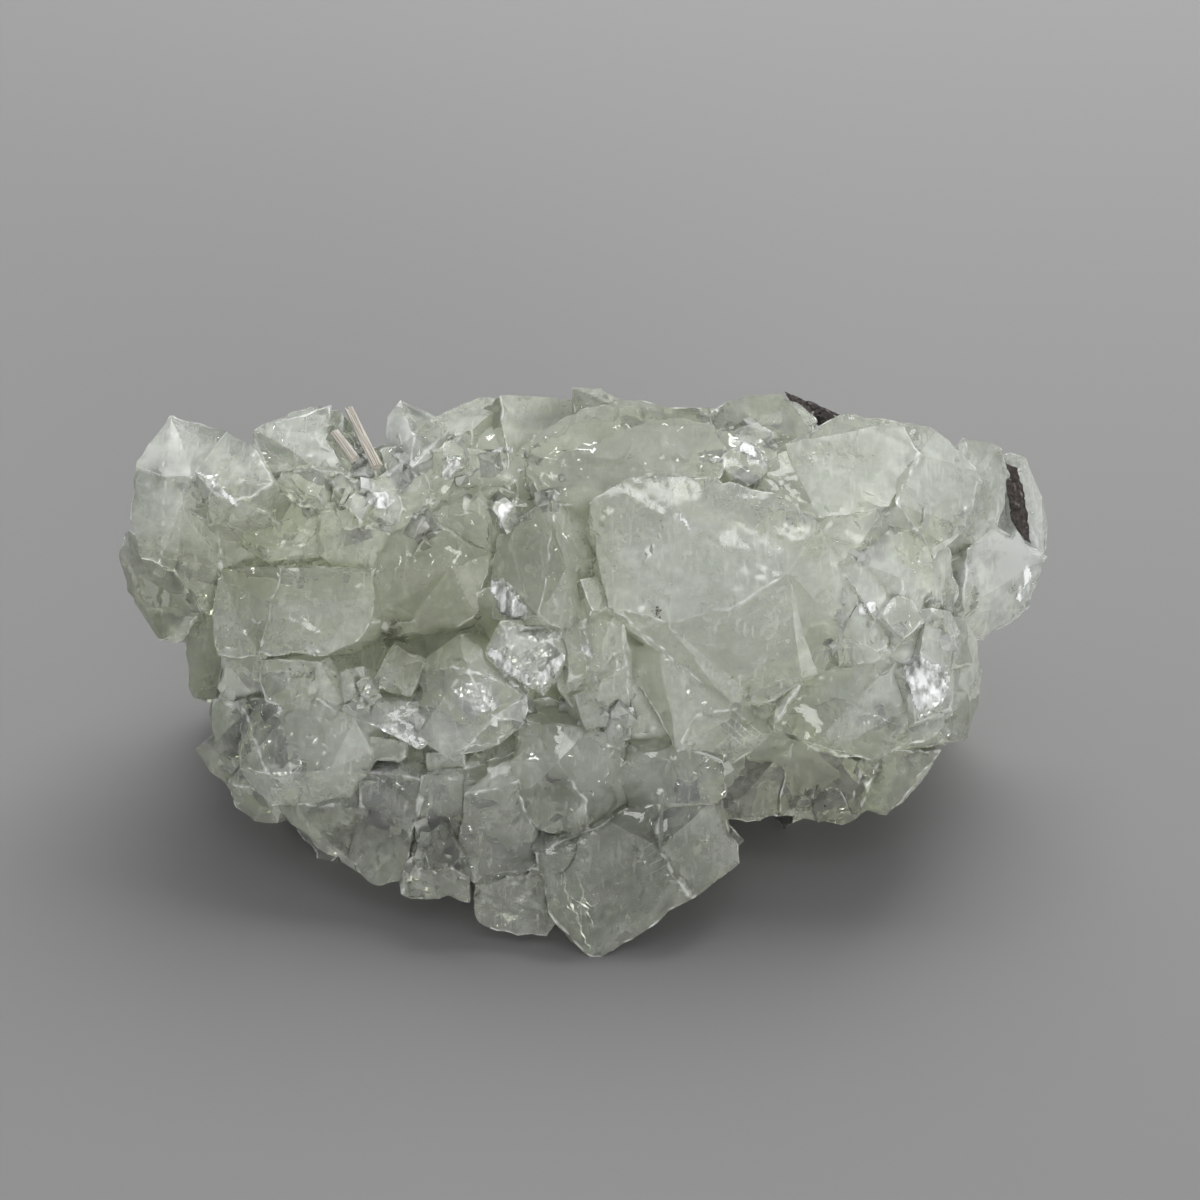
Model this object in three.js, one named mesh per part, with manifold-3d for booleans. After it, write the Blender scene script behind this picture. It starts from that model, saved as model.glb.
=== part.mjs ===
// A palm-sized apophyllite cluster: square-prismed, clear to pale green crystals grown together,
// two stilbite blades on the crest and two chips of the dark host basalt held between crystals.
// Millimetres, +Z up. The part rests on a flat broken base at z = 0 and on the tip of its front toe.
// The origin is the bottom centre of the whole part.

import * as THREE from 'three';
import { mergeVertices } from 'three/addons/utils/BufferGeometryUtils.js';
import { ConvexGeometry } from 'three/addons/geometries/ConvexGeometry.js';
import Module from 'manifold-3d';

const wasm = await Module();
wasm.setup();

// Driving dimensions -----------------------------------------------------------------------------

const DEG = Math.PI / 180;

// The display face is the side that carries the best crystals. Its outward direction points
// forward and rises this far above the horizontal.
const DISPLAY_RISE = 36 * DEG;
// Where the middle of the display face lies above the base and behind the part's middle.
const DISPLAY_HEIGHT = 9.4;
const DISPLAY_BACK = 3.7;

// Tetragonal apophyllite: the four pyramid faces lean this far from the c-axis, and stand over
// the prism's edges.
const PYRAMID_LEAN = 60.4 * DEG;

// Blocks: the larger crystals of the display face, grown tight against one another.
const BLOCK_DEPTH = 10;      // how far a block runs back towards the core
const CORE_REACH = 0.62;     // the core is a line this share of the cluster's length
const OVERGROWTH = 1.05;     // a block is this much larger than its corners, into its neighbours

// The older intergrown mass that the crystals stand on, as an egg-shaped body: its middle and its
// half-length, half-depth and half-height.
const MASS_MIDDLE = new THREE.Vector3(0, 10.5, 8.5);
const MASS_RADII = new THREE.Vector3(29, 11.5, 17);
const MASS_STEPS = 14;       // facets from its lowest to its highest point

// Seams between the blocks are filled by smaller crystals over an oval field of the display face.
const SEAM_PITCH = 4.6;
const SEAM_SINK = [3.2, 4.2];        // depth below the face's general swell
const SEAM_UP = [-13, 17];           // lowest and highest row
const SEAM_FIELD = { reach: 28, middle: 6, rise: 23 };
const SEAM_WIDTHS = [4, 6.5];
const SEAM_LENGTH = 8;
const SEAM_BITES = [0, 2];

// The back, the ends and the underside carry rows of crystals at these angles above the middle.
const COAT_ROWS = [-34, -8, 18, 42, 64];
const COAT_PITCH = 7.2;
const COAT_WIDTHS = [5, 9];
const COAT_LENGTH = 11;
const COAT_BITE = 5;
const COAT_PROUD = [1, 3];           // how far they stand out of the mass
const COAT_OPEN = 0.35;              // they stop where the mass faces this much of the display way
const COAT_OPEN_BELOW = 0.62;        // and the same for the rows below the middle

// The back of the crest carries one row more, behind the display face's own crystals.
const CREST_SPAN = [-31, 32];
const CREST_PITCH = 5.8;
const CREST_UP = [13, 15.5];
const CREST_OUT = [-7, -4];
const CREST_WIDTHS = [5.5, 8.5];
const CREST_LENGTH = 12;
const CREST_BITES = [0, 3];

const CHIP_SHARE = [0.05, 0.27];     // a broken corner's depth, as a share of the crystal's width
const SMALL_CHIPS = 3;               // broken corners on each small crystal
const OTHER_CHIPS = 1;               // and on each crystal of the back

const BLADE_WIDTH = 1;
const BLADE_THICKNESS = 0.6;
const BLADE_TAPER = 0.7;             // width at the tip, as a share of the width at the foot

const SIMPLIFY = 0.04;       // slivers thinner than this are merged away
const CLEARANCE = 0.3;       // gap left around a piece that sits in a pocket of the cluster

// Directions of the display face: across it to the right, up its slope, and out of it.
const ACROSS = new THREE.Vector3(1, 0, 0);
const UP_SLOPE = new THREE.Vector3(0, Math.sin(DISPLAY_RISE), Math.cos(DISPLAY_RISE));
const OUT = new THREE.Vector3(0, -Math.cos(DISPLAY_RISE), Math.sin(DISPLAY_RISE));
const DISPLAY_FRAME = new THREE.Matrix4()
  .makeBasis(ACROSS, UP_SLOPE, OUT)
  .setPosition(0, DISPLAY_BACK, DISPLAY_HEIGHT);

// The crystals -----------------------------------------------------------------------------------

// The blocks of the display face, from its left end to its right. Each is given by the corners of
// its front facets (across, up, out), and runs back from them into the cluster.

const LEFT_BLOCKS = {
  cornerBlock: [[-32.5, 20, 3], [-27.5, 18.5, 4], [-30, 15, 7.5], [-32, 15, 7.5], [-34.5, 16, 6],
    [-35, 12, 6], [-34, 9, 6], [-32.5, 8.5, 6.5], [-31, 12, 7]],
  tiltedBlock: [[-29.5, 15.5, 8.5], [-27.5, 18.5, 6], [-25, 17, 7.5], [-23.5, 14.5, 9],
    [-24.5, 12.5, 9], [-26, 13, 10], [-28, 14, 10], [-28.5, 12, 8.5], [-27, 11.5, 8.5]],
  endFacet: [[-35.5, 11, 3], [-37, 9, 0], [-36, 6, 0], [-34.5, 4, 1], [-33.5, 2.5, 1.5],
    [-31.5, 2.5, 2], [-30, 5, 4], [-30.5, 6, 4], [-32.5, 9, 4.5]],
  oliveDiamond: [[-30.5, 12.5, 7], [-32, 9, 5.5], [-29.5, 5, 6], [-28, 6, 6.5], [-28, 8.5, 7],
    [-26, 10.5, 7], [-28, 12, 7.5]],
  recessLeft: [[-26.5, 10, 7], [-25, 12.5, 7], [-23, 14, 7], [-20, 13.5, 7], [-20, 9.5, 6.8],
    [-24, 8.6, 7.2]],
  recessRight: [[-20, 13.5, 7.5], [-17, 12, 7], [-15, 11, 7], [-16, 8, 7.2], [-19.5, 8.4, 7],
    [-20.5, 9.5, 6.8]],
  crestLeft: [[-25, 16, 6], [-25.5, 19, 4.5], [-24, 20, 3], [-21.5, 21, 2], [-20, 21, 2.5],
    [-20, 18.5, 5], [-20.5, 16, 7], [-24, 15.5, 7]],
  crestRight: [[-20.5, 16, 7], [-20, 18.5, 5], [-20, 20.5, 2.5], [-18, 20.5, 3], [-17, 18, 4.5],
    [-17.5, 16, 6.5], [-18.5, 15.5, 7]],
  smallPane: [[-23.5, 14, 8], [-23, 15.5, 7], [-20, 15.5, 7], [-20, 13.5, 8.5], [-21.5, 13, 8.5]],
  bigPaneLeft: [[-28, 8, 7], [-28, 1.5, 8.5], [-24.5, 1.5, 9.5], [-23, 8, 8]],
  bigPaneRight: [[-24.7, 2, 9.3], [-23.3, 8, 7.8], [-16, 8, 7.8], [-16, 4, 8.7], [-17, 2.5, 9],
    [-19.5, 1.5, 9.5], [-23.5, 1.5, 9.5]],
  bandLeft: [[-28, 1.5, 7.5], [-24, 1.5, 8.5], [-24.5, -2, 7.5], [-26, -2, 7], [-28, -2, 6.5]],
  bandRight: [[-24.5, 1, 8.5], [-20, 1, 9], [-18, -0.5, 8.5], [-18, -2, 8.5], [-21, -3, 9],
    [-24, -2, 8.5]],
  endColumn: [[-31, 3, 2.5], [-31.5, 1, 2], [-31, -1, 2.5], [-30.5, -2, 3], [-28.5, -2, 4.5],
    [-28, 1, 5], [-28.5, 5, 5], [-29.5, 5, 4]],
  lowerPane: [[-26, -2, 8], [-20, -2, 9], [-17.5, -3.5, 9.5], [-16, -6, 9.5], [-16, -7.5, 9.5],
    [-17.5, -10, 8.5], [-23.5, -10, 8.5], [-26, -7, 8], [-23.5, -7.5, 10], [-19, -7, 10.5]],
  lowerEnd: [[-28.5, -2, 6.5], [-26, -2, 7.5], [-26, -5, 7.5], [-25.5, -7, 7], [-28.5, -6, 6]],
  lowerCorner: [[-30, -6, 4], [-29, -7.5, 4], [-27.5, -9, 4.5], [-26, -7, 6], [-27, -6.5, 6.5],
    [-29, -5.5, 5.5]],
  roundedCorner: [[-27.5, -9, 4.5], [-27, -10.5, 4.5], [-25.5, -11.5, 5], [-23.5, -11.5, 6],
    [-23, -10, 7.5], [-24.5, -9, 8], [-26, -7, 7], [-27.5, -8.5, 5.5]],
  rimBlock: [[-23.5, -10, 7.5], [-22, -11.5, 7.5], [-20, -13.2, 8.6], [-17, -14.6, 9.4],
    [-16.6, -10, 10], [-22, -10, 8.5]],
  tallBlock: [[-17.5, -14, 9.5], [-16, -15.5, 10], [-14.5, -16, 10.5], [-13.5, -15.5, 11],
    [-12.5, -12, 12], [-11.5, -8, 11], [-12, -6.5, 9.5], [-16, -7.5, 9.5], [-16.5, -9.5, 10]],
};

const MIDDLE_BLOCKS = {
  nestFloor: [[-19, 16.5, 6.2], [-19, 12.2, 7], [-16.5, 11, 7.2], [-13, 12, 7], [-11, 14, 5.6],
    [-11.5, 17, 4.6], [-15, 17.5, 5.2], [-16, 14, 7.8]],
  middleBed: [[-1.5, 3, 10.2], [0.5, 6.5, 10.6], [3, 5.5, 10.6], [4, 1, 10.2], [4, -4.5, 10.6],
    [1.5, -5, 10.8], [-1.5, -1, 10.6], [1.2, 1, 11.2]],
  pointedCrest: [[-15, 16.5, 5.5], [-15, 20, 3], [-14, 21.5, 2], [-12, 20.5, 2.5],
    [-10.5, 19, 4], [-11, 17, 5], [-13, 16, 6.5], [-13, 18.5, 5]],
  oliveBlock: [[-16, 8, 7], [-15.5, 11, 6], [-12, 12, 6.5], [-9, 10, 8], [-7, 9, 7],
    [-8, 4.5, 8], [-11, 3, 7], [-14, 3, 7], [-16, 4, 7], [-10, 8, 9]],
  oliveFoot: [[-14, 4, 7.5], [-8, 4.5, 7.5], [-7, 4.5, 6.5], [-8, 3, 6], [-11, 1.5, 5.5],
    [-13, 2.5, 6], [-15.5, 3, 6.5]],
  greyFacets: [[-12, 12, 6], [-9, 13.5, 6], [-6, 12.5, 6], [-6.5, 9, 7], [-9, 10.5, 7],
    [-9, 12, 7.5]],
  crestPane: [[-9, 18.5, 2], [-6, 20.5, 1], [-3.5, 20.5, 1], [-2.5, 20, 1.5], [-3.5, 18, 3],
    [-6.5, 18, 3]],
  creviceFloor: [[-10.5, 14, 2], [-9, 18.5, 0], [-3, 18.5, 0], [-3, 13, 2], [-6, 12, 3]],
  crestSlope: [[-10, 17.5, 4], [-7.5, 19.4, 2.6], [-4, 19.4, 2.4], [-3.2, 16.5, 4.8],
    [-5.5, 14.6, 6], [-9.5, 14.6, 5]],
  clearPoint: [[-2, 14, 9], [-1, 13, 8.5], [0.5, 11.5, 8.5], [1, 9.5, 9], [1, 7.5, 9],
    [0.5, 4, 9.5], [-3, 13, 8.5], [-6, 10.5, 7.5], [-6.5, 8.5, 7.5], [-6.5, 4.5, 8],
    [-2, 11.5, 10.5], [-1, 8, 11], [0, 3, 11], [-3, 4.5, 11]],
  jewel: [[-6, 4, 10], [-1.5, 4, 10], [-1, 3, 10.5], [-1, 1, 11], [-2.5, -1.5, 11.5],
    [-6, 0.5, 11.5], [-7, 1.5, 10.5], [-2.5, 2.5, 12], [-4.5, 1.5, 12.5]],
  whiteDiamond: [[-9, 3, 9], [-7, 1.5, 10], [-4, -1.5, 11.5], [-4, -3.5, 11.5], [-6, -5, 12],
    [-8, -5, 12], [-9.5, -6, 12], [-12, -4.5, 11.5], [-12, 0.5, 10], [-8.5, 0.5, 12.5],
    [-6.5, -3, 13]],
  ledge: [[-18, -2.5, 10.5], [-17, -2, 10], [-12.5, -2, 10.5], [-11, -4.5, 11.5],
    [-12, -5.5, 12], [-14, -4.5, 11.5], [-16, -3.5, 11]],
  smoothBlock: [[-4, -3.5, 11], [-1, -4, 11.5], [1, -4, 11.5], [3.5, -5.5, 11], [4, -9.5, 11.5],
    [0.5, -12, 12], [-3, -11.5, 12], [-4.5, -9, 12], [-5, -6.5, 11.5], [-1.5, -6.5, 12.8],
    [0.5, -9.5, 13]],
  lowerLeft: [[-12, -7.5, 11], [-8.5, -7, 11], [-7.5, -8.5, 11.5], [-8, -12, 12],
    [-12, -12.5, 12]],
  lowerMiddle: [[-8.5, -7, 11], [-5, -6, 11], [-4.5, -8, 12], [-3, -14, 12], [-8, -15.5, 12.5],
    [-9, -13.5, 12.5], [-8.5, -9, 12]],
  rimLeft: [[-13.5, -16, 11], [-13.5, -16.5, 11], [-11.5, -17, 11], [-8.5, -17, 11.5],
    [-8.5, -15, 12.5], [-9, -14, 12.5], [-12, -13, 12.5]],
  toeLeft: [[-8, -16, 12.5], [-7, -15, 12.5], [-3, -14.5, 13], [-1.5, -18, 13],
    [-2.5, -19.5, 12.5], [-6.5, -19, 12], [-7.5, -18.5, 12]],
  toe: [[-3, -13.5, 13], [2, -11, 12.5], [6, -9.5, 12], [6, -13, 13.5], [8.5, -16.5, 13],
    [4, -19, 13], [1.3, -21.1, 13], [-0.5, -19.5, 13], [-2, -17.5, 13.5]],
  toeRight: [[6, -9.5, 12], [10, -9.5, 11], [11, -10, 10.5], [12, -14, 11], [8.5, -16.5, 13],
    [6, -13, 13.5]],
  whitish: [[3, -7, 11.5], [4, -6, 11.5], [8, -5.5, 11], [11, -6.5, 10.5], [11, -9.5, 11.5],
    [6, -9.5, 12.5], [4, -10, 12]],
};

const RIGHT_BLOCKS = {
  bigCrystal: [[1.2, 12.8, 10.3], [4, 14.4, 9.8], [9, 14.8, 9.7], [14.5, 13.8, 10],
    [17.8, 11.2, 10.7], [19.5, 9, 9.5], [20, 3.5, 9], [18, 0, 9], [14, -2, 10], [12, -2.5, 10],
    [6, 2, 11], [2.5, 5.3, 12.5], [6.5, 4.1, 12.9], [11.2, 4.9, 12.6], [15.6, 7.6, 11.8]],
  bigShoulder: [[-2.5, 13, 9], [2, 13, 10], [6, 15.5, 9], [10.5, 15, 9], [11, 17.5, 6.5],
    [10, 20, 4], [3, 21.5, 3], [0, 20.5, 3.5], [-2.5, 19, 5], [-3.5, 18, 6], [-4, 16, 7.5]],
  crestBump: [[-0.5, 20.5, 3], [-0.5, 22.5, 1.5], [1.5, 22.5, 1], [3, 21.5, 1.5], [3, 21, 3]],
  underBlock: [[3.5, 2, 10], [6, 2, 11], [12, -2.5, 10], [15, -2, 9], [14.5, -4.5, 9],
    [11, -7, 9.5], [7.5, -5.5, 11], [4, 0.5, 10], [9, -3, 11.5]],
  oliveStrip: [[2.5, 4, 9], [3.5, 2, 9.5], [7.5, -5.5, 9.5], [4, -6, 9.5], [3, -4.5, 9],
    [2, 2, 8.5]],
  palePane: [[15.5, -2, 9], [18, 0, 9], [20, 0.5, 9], [24, 1, 9.5], [25, -2.5, 10],
    [25.5, -5, 9], [23.5, -6, 10], [22, -6.5, 10.5], [19, -5.5, 11], [17.5, -5.5, 11],
    [15, -4, 10]],
  paleCorner: [[25, -2.5, 9.5], [28, -1.5, 8.5], [30, -1.5, 7], [30, -5, 7], [27.5, -4.5, 9],
    [25.5, -5, 9], [23.5, -6, 10]],
  endStrip: [[29, 5, 6], [31, 3, 5], [31.5, 0, 4.5], [31.5, -1.5, 4.5], [30, -5, 5.5],
    [28.5, -3, 8]],
  undersideLeft: [[11, -7, 8], [15, -4.5, 8.5], [16.5, -5, 8.5], [15.5, -11, 6.5],
    [13, -11.5, 6.5], [11, -11, 7]],
  undersideRight: [[16.5, -5, 8.5], [19, -5.5, 8.5], [22, -7, 8], [22.5, -10.5, 6],
    [20.5, -11.5, 6.5], [17, -11, 6.5], [15.5, -11, 7]],
  undersideEnd: [[22, -7, 7.5], [23.5, -6, 8], [28, -6, 6], [27, -8, 5], [26, -9.5, 5],
    [24.5, -11, 5.5], [23.5, -11, 6], [22, -10.5, 6.5]],
  nestBed: [[19, 9.5, 8.6], [24, 11, 8.2], [28.5, 9.5, 7.2], [29.5, 3, 7.2], [28.5, -3, 8.4],
    [25, -3.5, 9.3], [20, 0, 9], [19.5, 4, 9.2], [24.5, 7, 9.3], [25.5, 2.5, 9.6]],
  upperRight: [[14, 16, 7], [16, 17.5, 6.5], [18, 18.5, 5], [20.5, 20, 3.5], [25, 19.5, 3.5],
    [26.5, 17, 5], [23.5, 13, 8.5], [18.5, 12, 9.5], [16, 12.5, 9], [14, 14.5, 8]],
  striatedPane: [[25, 19.5, 3], [28.5, 19, 2.5], [31.5, 15.5, 3.5], [30, 11.5, 6],
    [27.5, 9, 8], [24.5, 13, 8.5], [26.5, 17, 5]],
  farRightTop: [[31, 18.5, -0.5], [34, 18, -1.5], [34.5, 16, -1], [33.5, 11.5, 1.5],
    [31, 10, 4.5], [30, 11.5, 5], [31.5, 15, 2.5]],
  farRight: [[30.5, 9.5, 5], [33.5, 11.5, 1.5], [35, 11, 0.5], [37.5, 9, -1], [36, 5, 0],
    [34.5, 4, 0.5], [32, 2.5, 2], [30.5, 2.5, 4], [30, 5, 6]],
  farRightRim: [[34.5, 17.6, -2.8], [36.4, 17, -3.2], [37.8, 14, -3.2], [38.1, 11, -2.6],
    [37.4, 9, -1.6], [34.6, 10, -2], [34.4, 14, -3.4]],
  crestRight: [[10, 20, 3], [12, 21.5, 1.5], [16.5, 22, 0.5], [18.5, 20, 2.5], [18, 18.5, 4.5],
    [14.5, 16, 6.5], [11, 17.5, 6]],
  saddle: [[15.5, 14, 8], [18.5, 12, 8.5], [23.5, 13, 8.5], [24.5, 11, 8], [21, 9, 9],
    [18, 10.5, 9.5]],
};

// The small whole crystals among the blocks: each as the middle of its top face (across, up, out),
// the direction of its c-axis there, its spin, its prism size, its length and its pyramid's bite.

const SMALL_CRYSTALS = [
  // The sparkling nest above the olive block.
  { at: [-18, 14.8, 8], axis: [-0.3, 0.4, 0.85], spin: 20, size: [2.2, 2.2], long: 7 },
  { at: [-16.3, 13, 8.5], axis: [0.3, 0.2, 0.9], spin: 35, size: [2.8, 2.8], long: 8, bite: 1 },
  { at: [-14.6, 12.8, 8], axis: [0.5, 0.3, 0.8], spin: -20, size: [2, 2.4], long: 7 },
  { at: [-17.6, 12, 8.6], axis: [0, -0.2, 1], spin: 15, size: [1.8, 1.8], long: 7 },
  { at: [-15.6, 15.6, 6.5], axis: [-0.2, 0.5, 0.8], spin: -10, size: [3.6, 3], long: 8 },
  { at: [-13.2, 14.2, 6.5], axis: [0.2, 0.3, 0.9], spin: 15, size: [3, 2.6], long: 8 },
  { at: [-10, 17.4, 6], axis: [0.3, 0.6, 0.7], spin: 30, size: [2.2, 2.2], long: 8 },
  { at: [-11.2, 15.2, 5.5], axis: [0.1, 0.5, 0.8], spin: -15, size: [2.6, 2.6], long: 8 },
  // The dark crevices on the crest.
  { at: [-7.6, 15.6, 5.2], axis: [-0.2, 0.3, 0.9], spin: 20, size: [3, 2.8], long: 8 },
  { at: [-5.3, 16.9, 4.3], axis: [0.1, 0.45, 0.9], spin: -10, size: [2.8, 2.2], long: 7 },
  { at: [-3.9, 14.7, 6], axis: [0.2, 0.3, 0.9], spin: 10, size: [2, 3], long: 8 },
  { at: [-8.6, 14, 5], axis: [-0.3, 0.1, 0.9], spin: -30, size: [2.6, 2.2], long: 7 },
  { at: [-5.6, 12.3, 8], axis: [0.2, 0.3, 0.9], spin: 30, size: [1.6, 2.8], long: 7 },
  // Around the white diamond and the jewel.
  { at: [-17.3, -0.8, 10.2], axis: [-0.3, 0.1, 0.95], spin: 10, size: [2, 2.4], long: 6 },
  { at: [-13.7, 0.3, 10.5], axis: [-0.1, 0.2, 1], spin: -25, size: [3, 3.4], long: 8 },
  { at: [-16, -1, 10.8], axis: [0.3, 0.4, 0.85], spin: 40, size: [1.4, 1.8], long: 5 },
  { at: [-10, -6.8, 11], axis: [0, 0, 1], spin: 5, size: [3, 2], long: 6 },
  { at: [-14.7, -5.8, 9.4], axis: [0.1, 0.2, 1], spin: -5, size: [3, 1.6], long: 6 },
  { at: [1.3, 6.2, 12], axis: [0.2, 0.3, 0.9], spin: 15, size: [1.8, 2.8], long: 8 },
  { at: [1, -2.5, 11.5], axis: [0.3, 0.3, 0.9], spin: 20, size: [2.2, 3.2], long: 7 },
  { at: [2.8, -3.8, 11.5], axis: [-0.2, 0.2, 0.95], spin: -15, size: [1.6, 3.4], long: 7 },
  { at: [-0.2, 1.6, 11.5], axis: [0.3, 0.1, 0.95], spin: 10, size: [1.8, 4], long: 8 },
  { at: [1.6, 1, 11], axis: [-0.2, 0.3, 0.9], spin: 35, size: [2.4, 2.8], long: 8 },
  { at: [2, 3.5, 10.5], axis: [-0.1, 0.2, 0.95], spin: 10, size: [2, 3], long: 8 },
  // The broken patch left of the toe.
  { at: [-10.5, -13, 13], axis: [-0.3, 0.1, 0.95], spin: 30, size: [2.8, 3], long: 7 },
  { at: [-11.8, -13.8, 12.5], axis: [-0.4, -0.1, 0.9], spin: 5, size: [2, 2], long: 6 },
  { at: [0.4, -13.4, 13.2], axis: [0.1, 0.2, 1], spin: 45, size: [1.8, 1.8], long: 5, bite: 0.5 },
  { at: [19.4, -10.3, 7.5], axis: [0, -0.2, 0.98], spin: 25, size: [2.8, 2.4], long: 6 },
  // The white wedges and the sparkling group at the right.
  { at: [12.8, 16.3, 7.8], axis: [0.1, 0.4, 0.9], spin: 40, size: [3.2, 3.2], long: 8 },
  { at: [13.8, 18.6, 5], axis: [-0.1, 0.5, 0.85], spin: 40, size: [2.4, 3.2], long: 8 },
  { at: [19.5, 10.3, 9.5], axis: [0.2, 0.2, 0.96], spin: 20, size: [4, 4], long: 10 },
  { at: [23, 6.8, 9.5], axis: [0.2, 0.3, 0.9], spin: 30, size: [3.5, 4.4], long: 9 },
  { at: [25.6, 9.4, 8.5], axis: [0.1, 0.3, 0.95], spin: -5, size: [3.4, 2.4], long: 8 },
  { at: [22.3, 3.6, 10], axis: [-0.2, 0.1, 0.97], spin: -20, size: [3.4, 3.4], long: 9 },
  { at: [24.7, 4.5, 10.5], axis: [0.2, 0.4, 0.9], spin: 40, size: [3, 3], long: 9 },
  { at: [27.2, 6.2, 8.5], axis: [0.3, 0.3, 0.9], spin: 10, size: [2.8, 3.4], long: 9 },
  { at: [26.6, -0.9, 11], axis: [0.3, 0.35, 0.9], spin: 20, size: [3, 4.4], long: 9, bite: 0.5 },
  { at: [27.6, 2.6, 10], axis: [0.4, 0.2, 0.9], spin: -15, size: [2.8, 4.8], long: 9 },
  { at: [29.4, 2.4, 8.5], axis: [0.6, 0.1, 0.8], spin: 10, size: [1.8, 4], long: 8 },
];

// The chips of host rock wedged between crystals, by their corners (across, up, out).
const CHIPS = {
  basalt_chip_top: [[16.5, 22.5, 0.2], [21.2, 20.6, 0.2], [20.9, 20.2, 1.2], [20, 19.5, 1.6],
    [18.6, 20.5, 1.4], [16.9, 21.6, 0.8], [17.2, 22, -1], [20.6, 20.4, -1.2], [19.6, 19.4, -0.6]],
  basalt_chip_right: [[34.7, 16.9, -1.8], [35.7, 16.5, -1.9], [36.3, 14, -1.5], [36.4, 11.5, -0.9],
    [36.6, 10.2, -0.7], [35.8, 10.6, 0], [34.9, 12, -0.1], [34.6, 15, -1], [35, 15.5, -3],
    [35.4, 12, -2.4]],
};

// The stilbite blades: thin pearly laths fanning from one root, each by its foot and its tip.
const BLADES = {
  stilbite_blade_long: { foot: [-15.7, 15.9, 7.2], tip: [-18.4, 20.9, 3] },
  stilbite_blade_short: { foot: [-17.5, 16.6, 6.7], tip: [-19.3, 18.9, 5] },
};

// Solids -----------------------------------------------------------------------------------------

// A repeatable source of numbers, each between two limits.
function chance(seed) {
  const modulus = 2147483647;
  const multiplier = 16807;
  let state = seed;
  return (least, most) => {
    state = (state * multiplier) % modulus;
    return least + (most - least) * (state - 1) / (modulus - 1);
  };
}

function toSolid(geometry) {
  const bare = geometry.clone();
  bare.deleteAttribute('normal');
  bare.deleteAttribute('uv');
  const merged = mergeVertices(bare, 1e-5);
  return new wasm.Manifold(new wasm.Mesh({
    numProp: 3,
    vertProperties: new Float32Array(merged.attributes.position.array),
    triVerts: new Uint32Array(merged.index.array),
  }));
}

function toGeometry(solid) {
  const mesh = solid.getMesh();
  const geometry = new THREE.BufferGeometry();
  geometry.setAttribute('position', new THREE.BufferAttribute(mesh.vertProperties, mesh.numProp));
  geometry.setIndex(new THREE.BufferAttribute(mesh.triVerts, 1));
  return geometry;
}

// Keeps the part of a solid that lies behind the plane normal . p = offset.
function cutBeyond(solid, normal, offset) {
  return solid.trimByPlane([-normal.x, -normal.y, -normal.z], -offset);
}

// The turn that carries +Z onto the c-axis, with the prism's first side kept level across and then
// spun about the axis.
function crystalFrame({ at, axis, spin = 0 }) {
  const c = new THREE.Vector3(...axis).normalize();
  const level = Math.abs(c.x) > 0.95 ? new THREE.Vector3(0, 1, 0) : new THREE.Vector3(1, 0, 0);
  const side = level.addScaledVector(c, -level.dot(c)).normalize();
  const other = new THREE.Vector3().crossVectors(c, side);
  return new THREE.Matrix4()
    .makeBasis(side, other, c)
    .setPosition(...at)
    .multiply(new THREE.Matrix4().makeRotationZ(spin * DEG));
}

// One crystal, in its own frame: its top face is centred on the origin and its c-axis is +Z.
// size is the width of its two pairs of prism faces, long is how far it runs back, bite is how far
// down each prism edge the pyramid face over it reaches, and chips is its number of broken corners.
function crystalShape({ size, long, bite = 0, chips, seed }) {
  const [width, depth] = size;
  const prism = new THREE.BoxGeometry(width, depth, long).translate(0, 0, -long / 2);
  let shape = toSolid(prism);
  const edges = [[1, 1], [-1, 1], [-1, -1], [1, -1]];
  const shoulder = ([sx, sy]) => new THREE.Vector3(sx * width / 2, sy * depth / 2, -bite);
  if (bite > 0) {
    for (const edge of edges) {
      const normal = new THREE.Vector3(...edge, 0).normalize().multiplyScalar(Math.sin(PYRAMID_LEAN));
      normal.z = Math.cos(PYRAMID_LEAN);
      shape = cutBeyond(shape, normal, normal.dot(shoulder(edge)));
    }
  }
  const random = chance(seed);
  for (let i = 0; i < chips; i += 1) {
    const edge = edges[Math.floor(random(0, 4))];
    const slant = () => random(0.3, 1.3);
    const normal = new THREE.Vector3(edge[0] * slant(), edge[1] * slant(), slant()).normalize();
    const depthOfChip = random(...CHIP_SHARE) * Math.min(width, depth);
    shape = cutBeyond(shape, normal, normal.dot(shoulder(edge)) - depthOfChip);
  }
  return shape;
}

// A crystal placed by its habit in the cluster's own directions, or in the display face's.
function crystalInCluster(habit) {
  return crystalShape(habit).transform(crystalFrame(habit).elements);
}

function crystalOnDisplay(habit) {
  return crystalInCluster(habit).transform(DISPLAY_FRAME.elements);
}

// The smallest flat-faced body that holds the given corners (across, up, out).
function lump(corners) {
  const points = corners.map((corner) => new THREE.Vector3(...corner).applyMatrix4(DISPLAY_FRAME));
  return toSolid(new ConvexGeometry(points));
}

// A block grown tight against its neighbours: its front corners, each joined to a root nearer the
// line that the whole cluster grew from.
function block(corners) {
  const front = corners.map((corner) => new THREE.Vector3(...corner).applyMatrix4(DISPLAY_FRAME));
  const roots = front.map((corner) => {
    const core = MASS_MIDDLE.clone().setX(corner.x * CORE_REACH);
    return core.sub(corner).setLength(BLOCK_DEPTH).add(corner);
  });
  const hull = [...front, ...roots];
  const middle = new THREE.Vector3();
  hull.forEach((corner) => middle.addScaledVector(corner, 1 / hull.length));
  hull.forEach((corner) => corner.sub(middle).multiplyScalar(OVERGROWTH).add(middle));
  return toSolid(new ConvexGeometry(hull));
}

// The general swell of the display face: how far out it stands at a place across and up it.
function swell(across, up) {
  return 12 - 0.009 * across * across - 0.018 * Math.max(up, 0) ** 2;
}

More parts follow.
